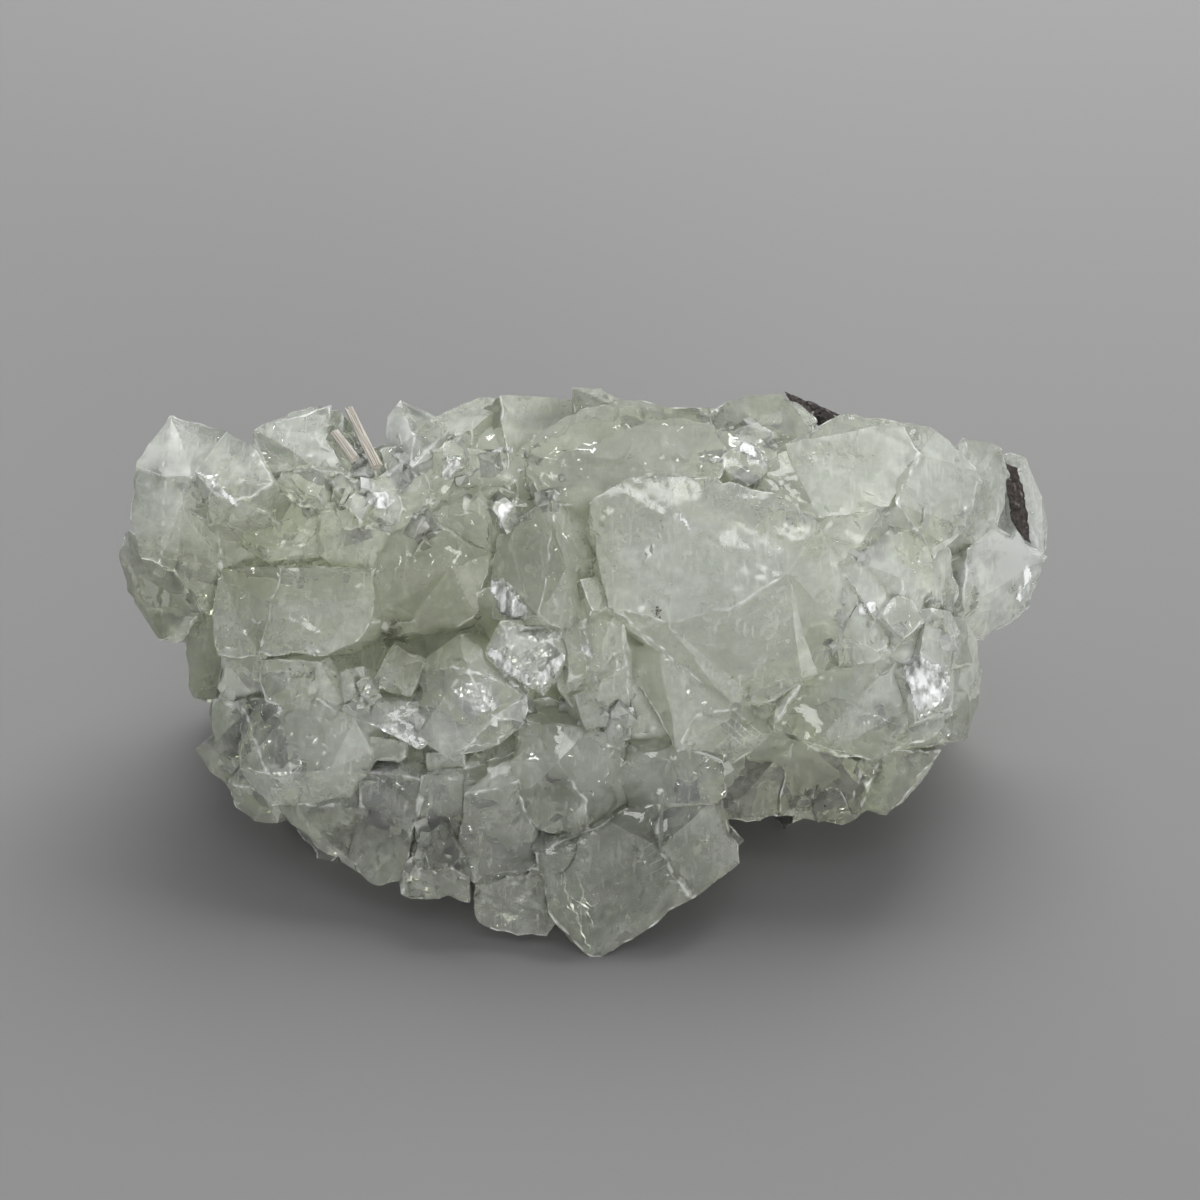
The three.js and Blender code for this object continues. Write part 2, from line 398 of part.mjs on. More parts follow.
function seamCrystals() {
  const random = chance(4021);
  const crystals = [];
  const jitter = () => random(-0.3, 0.3) * SEAM_PITCH;
  for (let up = SEAM_UP[0]; up <= SEAM_UP[1]; up += SEAM_PITCH) {
    const level = (up - SEAM_FIELD.middle) / SEAM_FIELD.rise;
    const reach = SEAM_FIELD.reach * Math.sqrt(1 - level ** 2);
    const middle = Math.min(up / 4, 0);
    for (let across = middle - reach; across <= middle + reach; across += SEAM_PITCH) {
      const place = [across + jitter(), up + jitter()];
      crystals.push(crystalOnDisplay({
        at: [...place, swell(...place) - random(...SEAM_SINK)],
        axis: [across / 90 + random(-0.25, 0.25), random(-0.3, 0.3), 1],
        spin: random(0, 90),
        size: [random(...SEAM_WIDTHS), random(...SEAM_WIDTHS)],
        long: SEAM_LENGTH,
        bite: random(...SEAM_BITES),
        chips: 0,
        seed: 1,
      }));
    }
  }
  return crystals;
}

// A place on the mass at an angle round from the right end and an angle above the middle.
function onMass(round, above) {
  const direction = new THREE.Vector3(
    Math.cos(above) * Math.cos(round), Math.cos(above) * Math.sin(round), Math.sin(above),
  );
  const place = direction.clone().multiply(MASS_RADII).add(MASS_MIDDLE);
  const normal = direction.clone().divide(MASS_RADII).normalize();
  return { place, normal };
}

function massSolid() {
  const points = [];
  for (let i = 0; i <= MASS_STEPS; i += 1) {
    const above = (i / MASS_STEPS - 0.5) * Math.PI;
    for (let j = 0; j < 2 * MASS_STEPS; j += 1) {
      points.push(onMass(j / MASS_STEPS * Math.PI, above).place);
    }
  }
  return toSolid(new ConvexGeometry(points));
}

// Crystals standing on the mass all round it, except where the display face's own crystals stand.
function coatCrystals() {
  const random = chance(911);
  const crystals = [];
  for (const row of COAT_ROWS) {
    const above = row * DEG;
    const girth = Math.PI * Math.cos(above) * (MASS_RADII.x + MASS_RADII.y);
    const count = Math.round(girth / COAT_PITCH);
    for (let i = 0; i < count; i += 1) {
      const round = (i + random(0, 0.5)) / count * 2 * Math.PI;
      const { place, normal } = onMass(round, above + random(-0.07, 0.07));
      const lean = new THREE.Vector3(random(-0.35, 0.35), random(-0.35, 0.35), random(-0.35, 0.35));
      place.addScaledVector(normal, random(...COAT_PROUD));
      const habit = {
        at: place.toArray(),
        axis: lean.add(normal).toArray(),
        spin: random(0, 90),
        size: [random(...COAT_WIDTHS), random(...COAT_WIDTHS)],
        long: COAT_LENGTH,
        bite: COAT_BITE * random(0, 1) ** 2,
        chips: OTHER_CHIPS,
        seed: 400 + 13 * i,
      };
      if (normal.dot(OUT) < (row < 0 ? COAT_OPEN_BELOW : COAT_OPEN)) {
        crystals.push(crystalInCluster(habit));
      }
    }
  }
  return crystals;
}

function crestBackCrystals() {
  const random = chance(5077);
  const crystals = [];
  for (let across = CREST_SPAN[0]; across <= CREST_SPAN[1]; across += CREST_PITCH) {
    crystals.push(crystalOnDisplay({
      at: [across + random(0, 1), random(...CREST_UP), random(...CREST_OUT)],
      axis: [across / 60 + random(-0.2, 0.2), random(0.3, 0.7), -0.8],
      spin: random(0, 90),
      size: [random(...CREST_WIDTHS), random(...CREST_WIDTHS)],
      long: CREST_LENGTH,
      bite: random(...CREST_BITES),
      chips: OTHER_CHIPS,
      seed: 700 + 13 * crystals.length,
    }));
  }
  return crystals;
}

// The corners of a body that stands clear of the given corners on every side.
function clearOf(corners) {
  const sides = [-CLEARANCE, CLEARANCE];
  return corners.flatMap(([x, y, z]) => sides.flatMap((dx) => sides.flatMap(
    (dy) => sides.map((dz) => [x + dx, y + dy, z + dz]),
  )));
}

// A blade's corners: an eight-sided ring with bevelled edges round its foot, and one round its tip.
function bladeCorners({ foot, tip }) {
  const start = new THREE.Vector3(...foot);
  const end = new THREE.Vector3(...tip);
  const along = end.clone().sub(start).normalize();
  const side = new THREE.Vector3(0, 0, 1).cross(along).normalize();
  const face = new THREE.Vector3().crossVectors(along, side);
  const ring = [[1, 0.35], [0.75, 1], [-0.75, 1], [-1, 0.35], [-1, -0.35], [-0.75, -1], [0.75, -1],
    [1, -0.35]];
  return [[start, 1], [end, BLADE_TAPER]].flatMap(([centre, share]) => ring.map(
    ([s, f]) => centre.clone()
      .addScaledVector(side, s * share * BLADE_WIDTH / 2)
      .addScaledVector(face, f * BLADE_THICKNESS / 2)
      .toArray(),
  ));
}

// A hollow closed off inside the solid has a skin of its own; only the outer skin is kept.
function outerSkin(solid) {
  return solid.decompose().reduce((most, piece) => (piece.volume() > most.volume() ? piece : most));
}

function wholeCluster(pockets) {
  const parts = [massSolid(), ...seamCrystals(), ...coatCrystals(), ...crestBackCrystals()];
  for (const blocks of [LEFT_BLOCKS, MIDDLE_BLOCKS, RIGHT_BLOCKS]) {
    parts.push(...Object.values(blocks).map(block));
  }
  SMALL_CRYSTALS.forEach((habit, i) => {
    parts.push(crystalOnDisplay({ chips: SMALL_CHIPS, seed: 7919 * (i + 1), ...habit }));
  });
  let solid = wasm.Manifold.union(parts).trimByPlane([0, 0, 1], 0);
  for (const corners of pockets) solid = solid.subtract(lump(clearOf(corners)));
  return outerSkin(solid.simplify(SIMPLIFY));
}

// Materials --------------------------------------------------------------------------------------

function material(color, roughness) {
  return new THREE.MeshStandardMaterial({ color, roughness, metalness: 0, flatShading: true });
}

const clearCrystal = material(0xc3cbb9, 0.15);
const basalt = material(0x57524b, 0.8);
const stilbite = material(0xd6cfc6, 0.4);

// The part ---------------------------------------------------------------------------------------

function named(name, solid, surface) {
  const mesh = new THREE.Mesh(toGeometry(solid), surface);
  mesh.name = name;
  return mesh;
}

function wholePart() {
  const blades = Object.entries(BLADES).map(([name, blade]) => [name, bladeCorners(blade)]);
  const chips = Object.entries(CHIPS);
  const pockets = [...chips, ...blades].map(([, corners]) => corners);
  const group = new THREE.Group();
  group.add(named('crystal_cluster', wholeCluster(pockets), clearCrystal));
  for (const [name, corners] of chips) group.add(named(name, lump(corners), basalt));
  for (const [name, corners] of blades) group.add(named(name, lump(corners), stilbite));
  const bounds = new THREE.Box3().setFromObject(group);
  group.position.set(-(bounds.min.x + bounds.max.x) / 2, -(bounds.min.y + bounds.max.y) / 2, 0);
  return group;
}

export default wholePart();
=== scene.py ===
import math

import bmesh
import bpy
import numpy as np
from mathutils import Matrix, Vector, noise
from mathutils.bvhtree import BVHTree
from mathutils.kdtree import KDTree


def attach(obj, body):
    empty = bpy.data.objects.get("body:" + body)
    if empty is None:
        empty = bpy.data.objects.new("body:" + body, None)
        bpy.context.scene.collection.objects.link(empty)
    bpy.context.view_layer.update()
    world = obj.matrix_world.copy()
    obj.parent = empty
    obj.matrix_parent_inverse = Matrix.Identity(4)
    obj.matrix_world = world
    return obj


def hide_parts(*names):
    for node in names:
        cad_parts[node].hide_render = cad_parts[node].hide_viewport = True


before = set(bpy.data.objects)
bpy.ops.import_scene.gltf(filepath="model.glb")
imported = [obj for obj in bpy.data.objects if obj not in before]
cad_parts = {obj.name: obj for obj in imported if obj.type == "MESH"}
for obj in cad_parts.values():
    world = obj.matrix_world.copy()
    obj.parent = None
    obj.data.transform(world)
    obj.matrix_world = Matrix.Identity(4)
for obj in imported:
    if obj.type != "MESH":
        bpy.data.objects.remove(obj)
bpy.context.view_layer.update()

# noise_vector starts from the clock unless its seed is set.
noise.seed_set(7)

MM = 0.001

# The display face's directions, as in the CAD: across, up its slope and out of it.
DISPLAY_RISE = math.radians(36)
DISPLAY_MIDDLE = Vector((-0.507, 1.222, 9.4)) * MM
ACROSS = Vector((1, 0, 0))
UP_SLOPE = Vector((0, math.sin(DISPLAY_RISE), math.cos(DISPLAY_RISE)))
OUT = Vector((0, -math.cos(DISPLAY_RISE), math.sin(DISPLAY_RISE)))


def to_row(across, up, out):
    """A place given in millimetres on the display face, in the row frame in metres."""
    return DISPLAY_MIDDLE + (ACROSS * across + UP_SLOPE * up + OUT * out) * MM


def to_face(points):
    """Points of the row frame, as millimetres across, up and out of the display face."""
    axes = np.array([ACROSS, UP_SLOPE, OUT])
    return (points - np.array(DISPLAY_MIDDLE)) @ axes.T / MM


def away_from(face, across, up, reach):
    """How far places of the face are from one of them, squared, where the reach counts as one."""
    return ((face[:, 0] - across) ** 2 + (face[:, 1] - up) ** 2) / reach ** 2


# ------------------------------------------------------------------ mesh of the crystals

# The longest mesh edge on the facets in front, on those behind and on the cut base.
FINE_EDGE = 0.62 * MM
COARSE_EDGE = 1.1 * MM
BASE_EDGE = 4 * MM

# Faces closer to one plane than the first angle are one facet. Distances are measured from the
# edges sharper than the second, and edges sharper than the third are drawn crisp.
FLAT_ANGLE = math.radians(2)
SHARP_ANGLE = math.radians(18)
CRISP_ANGLE = math.radians(22)
# The step between the places kept along an edge, and the farthest that they are looked for.
EDGE_STEP = 0.2 * MM
FAR = 4 * MM

# How near them the edges are worn, and how deep at most; and how near them the edges look pale,
# partly worn and partly a painted highlight, and the creases get painted shade.
WEAR_REACH = 0.5 * MM
EDGE_WEAR = 0.05 * MM
EDGE_REACH = 0.7 * MM
CREASE_REACH = 1.6 * MM

# Relief of the facets: growth terraces and two sizes of slightly tilted patches, which fade out
# beside the edges and creases, and a fine unevenness.
PLAIN_MARGIN = 0.6 * MM
TERRACE_SIZE = 3.2 * MM
TERRACE_HEIGHT = 0.06 * MM
WIDE_PATCH = 3.6 * MM
WIDE_TILT = 0.022
SMALL_PATCH = 1.7 * MM
SMALL_TILT = 0.012
UNEVEN_SIZE = 0.9 * MM
UNEVEN_HEIGHT = 0.006 * MM
RELIEF_LIMITS = (-0.5 * MM, 0.12 * MM)

# How far, in millimetres, points are moved in wide sways, and those beside the edges in short ones.
SWAY = 0.22
SWAY_SIZE = 4.0
JITTER = 0.26
JITTER_SIZE = 1.4
JITTER_REACH = 1.1 * MM

# Chips along the edges: how many, the least and the added depth and radius in millimetres, and how
# far their directions stray.
CHIPS = 1300
CHIP_DEPTH = (0.05, 0.25)
CHIP_RADIUS = (0.6, 3)
CHIP_LEAN = 0.25


def facets_of(node):
    """A CAD node's vertices, triangles and flat facets, with coplanar faces merged."""
    bm = bmesh.new()
    bm.from_mesh(node.data)
    bmesh.ops.remove_doubles(bm, verts=bm.verts, dist=1e-6)
    bmesh.ops.dissolve_limit(
        bm, angle_limit=FLAT_ANGLE, verts=bm.verts, edges=bm.edges, use_dissolve_boundaries=False
    )
    layer = bm.faces.layers.int.new("facet")
    for i, face in enumerate(bm.faces):
        face[layer] = i
    bmesh.ops.triangulate(bm, faces=bm.faces, quad_method="BEAUTY", ngon_method="BEAUTY")
    bm.verts.index_update()
    layer = bm.faces.layers.int["facet"]
    points = np.array([v.co for v in bm.verts])
    triangles = np.array([[v.index for v in f.verts] for f in bm.faces])
    facet = np.array([f[layer] for f in bm.faces])
    bm.free()
    return points, triangles, facet


def edge_table(triangles):
    """The mesh's edges, and each triangle's three: from its first corner to its second, and so on."""
    pairs = np.stack([triangles, np.roll(triangles, -1, axis=1)], axis=2).reshape(-1, 2)
    pairs = np.sort(pairs, axis=1)
    edges, which = np.unique(pairs, axis=0, return_inverse=True)
    return edges, which.reshape(-1, 3)


# How a triangle is split, by which of its sides are cut, the longest of them first. The numbers 0
# to 2 are its corners, and 3 to 5 the middles of its sides.
SPLITS = {
    (True, False, False): ((0, 3, 2), (3, 1, 2)),
    (True, True, False): ((0, 3, 2), (3, 1, 4), (3, 4, 2)),
    (True, False, True): ((0, 3, 5), (3, 2, 5), (3, 1, 2)),
    (True, True, True): ((0, 3, 5), (3, 1, 4), (3, 4, 2), (3, 2, 5)),
}


def refine(points, triangles, facet, limits):
    """Splits edges longer than their facet's limit, and each split triangle's longest edge."""
    while True:
        edges, sides = edge_table(triangles)
        length = np.linalg.norm(points[edges[:, 0]] - points[edges[:, 1]], axis=1)
        limit = np.full(len(edges), np.inf)
        np.minimum.at(limit, sides.ravel(), np.repeat(limits[facet], 3))
        split = length > limit
        if not split.any():
            return points, triangles, facet
        turn = length[sides].argmax(axis=1)
        longest = sides[np.arange(len(sides)), turn]
        while True:
            need = split[sides].any(axis=1) & ~split[longest]
            if not need.any():
                break
            split[longest[need]] = True
        middle = np.full(len(edges), -1)
        middle[split] = len(points) + np.arange(split.sum())
        points = np.vstack([points, points[edges[split]].mean(axis=1)])
        order = (turn[:, None] + np.arange(3)) % 3
        corners = np.take_along_axis(triangles, order, axis=1)
        middles = np.take_along_axis(middle[sides], order, axis=1)
        places = np.hstack([corners, middles])
        whole = (middles < 0).all(axis=1)
        made, made_facet = [triangles[whole]], [facet[whole]]
        for pattern, parts in SPLITS.items():
            rows = ((middles >= 0) == pattern).all(axis=1)
            made += [places[rows][:, part] for part in parts]
            made_facet += [facet[rows]] * len(parts)
        triangles = np.vstack(made)
        facet = np.concatenate(made_facet)


def unit_rows(rows):
    """Each row made one long, and a row of zeros left as it is."""
    return rows / np.maximum(np.linalg.norm(rows, axis=1, keepdims=True), 1e-20)


def triangle_normals(points, triangles):
    """Each triangle's normal and area."""
    a, b, c = (points[triangles[:, i]] for i in range(3))
    n = np.cross(b - a, c - a)
    size = np.linalg.norm(n, axis=1, keepdims=True)
    return n / np.maximum(size, 1e-20), size[:, 0] / 2


def facet_normals(points, triangles, facet):
    """Each facet's normal, the mean of its triangles' normals by area."""
    normals, areas = triangle_normals(points, triangles)
    total = np.zeros((facet.max() + 1, 3))
    np.add.at(total, facet, normals * areas[:, None])
    return unit_rows(total)


def vertex_directions(points, triangles, normals):
    """The way out at each point, from the normals of the triangles round it."""
    total = np.zeros_like(points)
    for k in range(3):
        np.add.at(total, triangles[:, k], normals)
    return unit_rows(total)


def sharp_edge_points(points, triangles, facet, step):
    """Points along the edges between facets: on the convex edges, the ways out there, and in the
    concave creases."""
    normals = facet_normals(points, triangles, facet)
    edges, sides = edge_table(triangles)
    first = np.full(len(edges), -1)
    second = np.full(len(edges), -1)
    for k in range(3):
        e = sides[:, k]
        fresh = first[e] < 0
        first[e[fresh]] = np.nonzero(fresh)[0]
        second[e[~fresh]] = np.nonzero(~fresh)[0]
    convex, concave, outward = [], [], []
    centres = points[triangles].mean(axis=1)
    for i in np.nonzero((first >= 0) & (second >= 0))[0]:
        n1, n2 = normals[facet[first[i]]], normals[facet[second[i]]]
        if n1 @ n2 > math.cos(SHARP_ANGLE):
            continue
        a, b = points[edges[i, 0]], points[edges[i, 1]]
        n = max(1, int(np.linalg.norm(b - a) / step))
        row = [a + (b - a) * k / n for k in range(n + 1)]
        if (centres[second[i]] - a) @ n1 < 0:
            convex.extend(row)
            outward.extend([(n1 + n2) / np.linalg.norm(n1 + n2)] * len(row))
        else:
            concave.extend(row)
    return np.array(convex), np.array(outward), np.array(concave)


def tree_of(points):
    """A tree that finds the nearest of those points."""
    tree = KDTree(len(points))
    for i, p in enumerate(points):
        tree.insert(p, i)
    tree.balance()
    return tree


def distance_to(points, targets, limit):
    """How far each point is from the nearest target, up to a limit."""
    tree = tree_of(targets)
    return np.array([min(tree.find(p)[2], limit) for p in points])


def noise_at(points, size, seed, octaves=1):
    """Smooth noise from about -1 to 1 at each point, with features of that size in metres."""
    shift = Vector((seed * 17.3, seed * 7.7, seed * 3.1))
    if octaves == 1:
        return np.array([noise.noise(Vector(p) / size + shift) for p in points])
    return np.array([noise.fractal(Vector(p) / size + shift, 0.9, 2.1, octaves) for p in points])


def facet_limits(points, triangles, facet):
    """The longest edge wanted on each facet: short in front, longer behind and on the cut base."""
    normals = facet_normals(points, triangles, facet)
    shown = normals @ np.array(OUT)
    limits = np.where(shown > 0.1, FINE_EDGE, COARSE_EDGE)
    return np.where(normals[:, 2] < -0.999, BASE_EDGE, limits)


def few_large(random, least, more, power=2):
    """A length in metres, at most that many millimetres more than the least; long ones are few."""
    return (least + more * random.random() ** power) * MM


def chip_edges(points, places, outward, seed):
    """Conchoidal chips: shallow hollows of a ball's shape, struck out of the convex edges."""
    random = np.random.default_rng(seed)
    for i in random.choice(len(places), CHIPS):
        depth = few_large(random, *CHIP_DEPTH)
        radius = few_large(random, *CHIP_RADIUS)
        out = outward[i] + random.normal(0, CHIP_LEAN, 3)
        centre = places[i] + out / np.linalg.norm(out) * (radius - depth)
        reach = 1.4 * math.sqrt(2 * radius * depth)
        close = (np.abs(points - places[i]) < reach).all(axis=1)
        near = np.nonzero(close & (points[:, 2] > 1e-5))[0]
        away = points[near] - centre
        gap = np.linalg.norm(away, axis=1)
        struck = (gap < radius) & (radius - gap < 2.5 * depth)
        points[near[struck]] = centre + away[struck] / gap[struck, None] * radius
    points[:, 2] = np.maximum(points[:, 2], 0)
    return points


def mosaic(points, cell, tilt, seed):
    """Height that breaks flat facets into slightly tilted patches about a cell across."""
    random = np.random.default_rng(seed)
    low, high = points.min(axis=0) - cell, points.max(axis=0) + cell
    counts = np.ceil((high - low) / cell).astype(int)
    grid = np.stack(np.meshgrid(*map(np.arange, counts), indexing="ij"), axis=-1).reshape(-1, 3)
    middles = low + (grid + random.random(grid.shape)) * cell
    slopes = random.normal(0, tilt, middles.shape)
    steps = random.normal(0, tilt * cell * 0.25, len(middles))
    tree = tree_of(middles)
    nearest = np.array([tree.find(p)[1] for p in points])
    return ((points - middles[nearest]) * slopes[nearest]).sum(axis=1) + steps[nearest]


def shake(points, near_edge):
    """Moves points a little, most beside the edges, so that these run slightly unevenly."""
    moved = []
    for p, near in zip(points, near_edge):
        place = Vector(p) / MM
        sway = noise.noise_vector(place / SWAY_SIZE) * SWAY
        shift = noise.noise_vector(place / JITTER_SIZE + Vector((9, 5, 2))) * JITTER * near
        moved.append(sway + shift)
    moved = np.array(moved) * MM
    moved[points[:, 2] < 1e-6, 2] = 0
    shaken = points + moved
    shaken[:, 2] = np.maximum(shaken[:, 2], 0)
    return shaken


def crystal_surface(node):
    """The cluster's fine surface, and how far each point is from an edge and from a crease."""
    points, triangles, facet = facets_of(node)
    convex, outward, concave = sharp_edge_points(points, triangles, facet, EDGE_STEP)
    limits = facet_limits(points, triangles, facet)
    points, triangles, facet = refine(points, triangles, facet, limits)
    normals = facet_normals(points, triangles, facet)
    direction = vertex_directions(points, triangles, normals[facet])
    edge = distance_to(points, convex, FAR)
    crease = distance_to(points, concave, FAR)
    own = np.random.default_rng(11).random(facet.max() + 1)
    vertex_facet = np.zeros(len(points), int)
    vertex_facet[triangles.ravel()] = np.repeat(facet, 3)
    inner = np.clip(np.minimum(edge, crease) / PLAIN_MARGIN, 0, 1)
    hills = noise_at(points, TERRACE_SIZE, 1, 3) + 2 * own[vertex_facet]
    terrace = (np.floor(hills * 3) + np.clip((hills * 3 % 1) * 5, 0, 1)) / 3 - hills
    height = terrace * TERRACE_HEIGHT * inner
    height += mosaic(points, WIDE_PATCH, WIDE_TILT, 31) * (0.3 + 0.7 * inner)
    height += mosaic(points, SMALL_PATCH, SMALL_TILT, 32) * inner
    height += noise_at(points, UNEVEN_SIZE, 2) * UNEVEN_HEIGHT
    height -= np.clip(1 - edge / WEAR_REACH, 0, 1) ** 2 * EDGE_WEAR
    height = np.clip(height, *RELIEF_LIMITS)
    height[points[:, 2] < 1e-6] = 0
    points = shake(points + direction * height[:, None], np.exp(-(edge / JITTER_REACH) ** 2))
    points = chip_edges(points, shake(convex, np.ones(len(convex))), outward, 41)
    return points, triangles, facet, edge, crease


def mesh_object(name, points, triangles):
    """A new object in the scene, made of those points and triangles."""
    mesh = bpy.data.meshes.new(name)
    mesh.from_pydata(points.tolist(), [], triangles.tolist())
    obj = bpy.data.objects.new(name, mesh)
    bpy.context.scene.collection.objects.link(obj)
    return obj


def set_values(obj, name, values, domain="POINT"):
    """Stores a number on each point, or each face, for a material to read by that name."""
    attribute = obj.data.attributes.new(name, "FLOAT", domain)
    attribute.data.foreach_set("value", np.asarray(values, np.float32))


def build_cluster(node, glass):
    """The cluster itself, with what its material reads: edges, creases, facets and regions."""
    points, triangles, facet, edge, crease = crystal_surface(node)
    obj = mesh_object("crystals", points, triangles)
    set_values(obj, "edge", np.clip(1 - edge / EDGE_REACH, 0, 1))
    set_values(obj, "crease", np.clip(1 - crease / CREASE_REACH, 0, 1))
    own = np.random.default_rng(5).random(facet.max() + 1)
    set_values(obj, "facet", own[facet], "FACE")
    set_regions(obj, points)
    obj.data.shade_smooth()
    obj.data.set_sharp_from_angle(angle=CRISP_ANGLE)
    obj.data.materials.append(glass)
    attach(obj, "root")
    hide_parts(node.name)
    return obj


# ------------------------------------------------------------------ what is sealed inside

# The milky body: how deep it lies, the size of its cells, how much its depth varies and over what
# distance, and how many times it is made.
CORE_DEPTH = 2.1 * MM
CORE_CELL = 0.6 * MM
CORE_WAVER = 0.35 * MM
CORE_WAVES = 3.2 * MM
CORE_TRIES = 9
# The band in which the depth is measured, as a share of it, and how deep in the band the skin lies.
BAND = 1.25
BAND_SHARE = 0.8

# Flakes tried inside the crystals: how many, and how far they lean from the facet above. Depth and
# size hold the least and the most added, in millimetres, and how few come near the most.
VEILS = 600
VEIL_DEPTH = (0.5, 2.5, 1.5)
VEIL_SIZE = (0.05, 0.3, 4)
VEIL_LEAN = 0.25


def inner_surface(node, depth, voxel):
    """The surface that lies that deep inside a node, as points and triangles."""
    group = bpy.data.node_groups.new("inward", "GeometryNodeTree")
    group.interface.new_socket("Geometry", in_out="INPUT", socket_type="NodeSocketGeometry")
    group.interface.new_socket("Geometry", in_out="OUTPUT", socket_type="NodeSocketGeometry")
    start = group.nodes.new("NodeGroupInput")
    fill = group.nodes.new("GeometryNodeMeshToVolume")
    fill.resolution_mode = "VOXEL_SIZE"
    fill.inputs["Voxel Size"].default_value = voxel
    fill.inputs["Interior Band Width"].default_value = depth * BAND
    shell = group.nodes.new("GeometryNodeVolumeToMesh")
    shell.resolution_mode = "VOXEL_SIZE"
    shell.inputs["Voxel Size"].default_value = voxel
    shell.inputs["Threshold"].default_value = BAND_SHARE
    end = group.nodes.new("NodeGroupOutput")
    group.links.new(start.outputs[0], fill.inputs["Mesh"])
    group.links.new(fill.outputs[0], shell.inputs["Volume"])
    group.links.new(shell.outputs[0], end.inputs[0])
    copy = bpy.data.objects.new("inward", node.data.copy())
    bpy.context.scene.collection.objects.link(copy)
    copy.modifiers.new("inward", "NODES").node_group = group
    made = copy.evaluated_get(bpy.context.evaluated_depsgraph_get()).to_mesh()
    made.calc_loop_triangles()
    points = np.array([v.co for v in made.vertices])
    triangles = np.array([t.vertices for t in made.loop_triangles])
    bpy.data.objects.remove(copy)
    bpy.data.node_groups.remove(group)
    return points, triangles


def steady_surface(node, depth, voxel):
    """The inner surface that comes most often: Blender's threads share out the work differently
    each time, and now and then a few points come out elsewhere."""
    made = [inner_surface(node, depth, voxel) for _ in range(CORE_TRIES)]
    marks = [points.tobytes() for points, _ in made]
    return made[marks.index(max(marks, key=marks.count))]


def build_core(node):
    """The milky body under the whole surface, its skin wavering a little in depth."""
    points, triangles = steady_surface(node, CORE_DEPTH, CORE_CELL)
    normals, _ = triangle_normals(points, triangles)
    direction = vertex_directions(points, triangles, normals)
    points = points + direction * (noise_at(points, CORE_WAVES, 21) * CORE_WAVER)[:, None]
    obj = mesh_object("milky_zones", points, triangles)
    obj.data.shade_smooth()
    set_regions(obj, points)
    obj.data.materials.append(milky_material())
    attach(obj, "root")


def lens(centre, normal, size, random, flat=0.6, thick=0.05):
    """A thin closed flake, as a many-sided double pyramid: its points and triangles."""
    side = Matrix.Rotation(random.random() * 6.28, 3, normal) @ normal.orthogonal().normalized()
    other = normal.cross(side)
    count = int(random.integers(5, 9))
    points = [centre + normal * size * thick, centre - normal * size * thick]
    for k in range(count):
        angle = k / count * 2 * math.pi
        r = size * random.uniform(0.5, 1)
        bend = normal * random.normal(0, 0.06) * size
        around = side * (r * math.cos(angle)) + other * (r * flat * math.sin(angle))
        points.append(centre + around + bend)
    triangles = []
    for k in range(count):
        here, after = 2 + k, 2 + (k + 1) % count
        triangles += [(0, here, after), (1, after, here)]
    return points, triangles


class Pile:
    """Many small closed shapes gathered into one mesh."""

    def __init__(self):
        self.points, self.triangles = [], []

    def add(self, points, triangles):
        first = len(self.points)
        self.points += points
        self.triangles += [[first + k for k in t] for t in triangles]

    def build(self, name, material):
        obj = mesh_object(name, np.array(self.points), np.array(self.triangles))
        obj.data.materials.append(material)
        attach(obj, "root")
        return obj


def build_veils(node):
    """Cleavage flakes and healed cracks inside the crystals, lying along the facets above them."""
    points, triangles, _ = facets_of(node)
    normals, areas = triangle_normals(points, triangles)
    tree = BVHTree.FromPolygons(points.tolist(), triangles.tolist())
    random = np.random.default_rng(77)
    chosen = random.choice(len(triangles), size=VEILS, p=areas / areas.sum())
    pile = Pile()
    for t in chosen:
        a, b, c = points[triangles[t]]
        u, v = sorted(random.random(2))
        place = a * u + b * (v - u) + c * (1 - v)
        n = Vector(normals[t])
        centre = Vector(place) - n * few_large(random, *VEIL_DEPTH)
        size = few_large(random, *VEIL_SIZE)
        hit, skin, _, gap = tree.find_nearest(centre)
        if gap < size * 1.05 or (centre - hit).dot(skin) > 0:
            continue
        lean = Vector(random.normal(0, VEIL_LEAN, 3))
        pile.add(*lens(centre, (n + lean).normalized(), size, random))
    pile.build("inner_veils", speckled_material("inner_veils", *VEIL_LOOK))


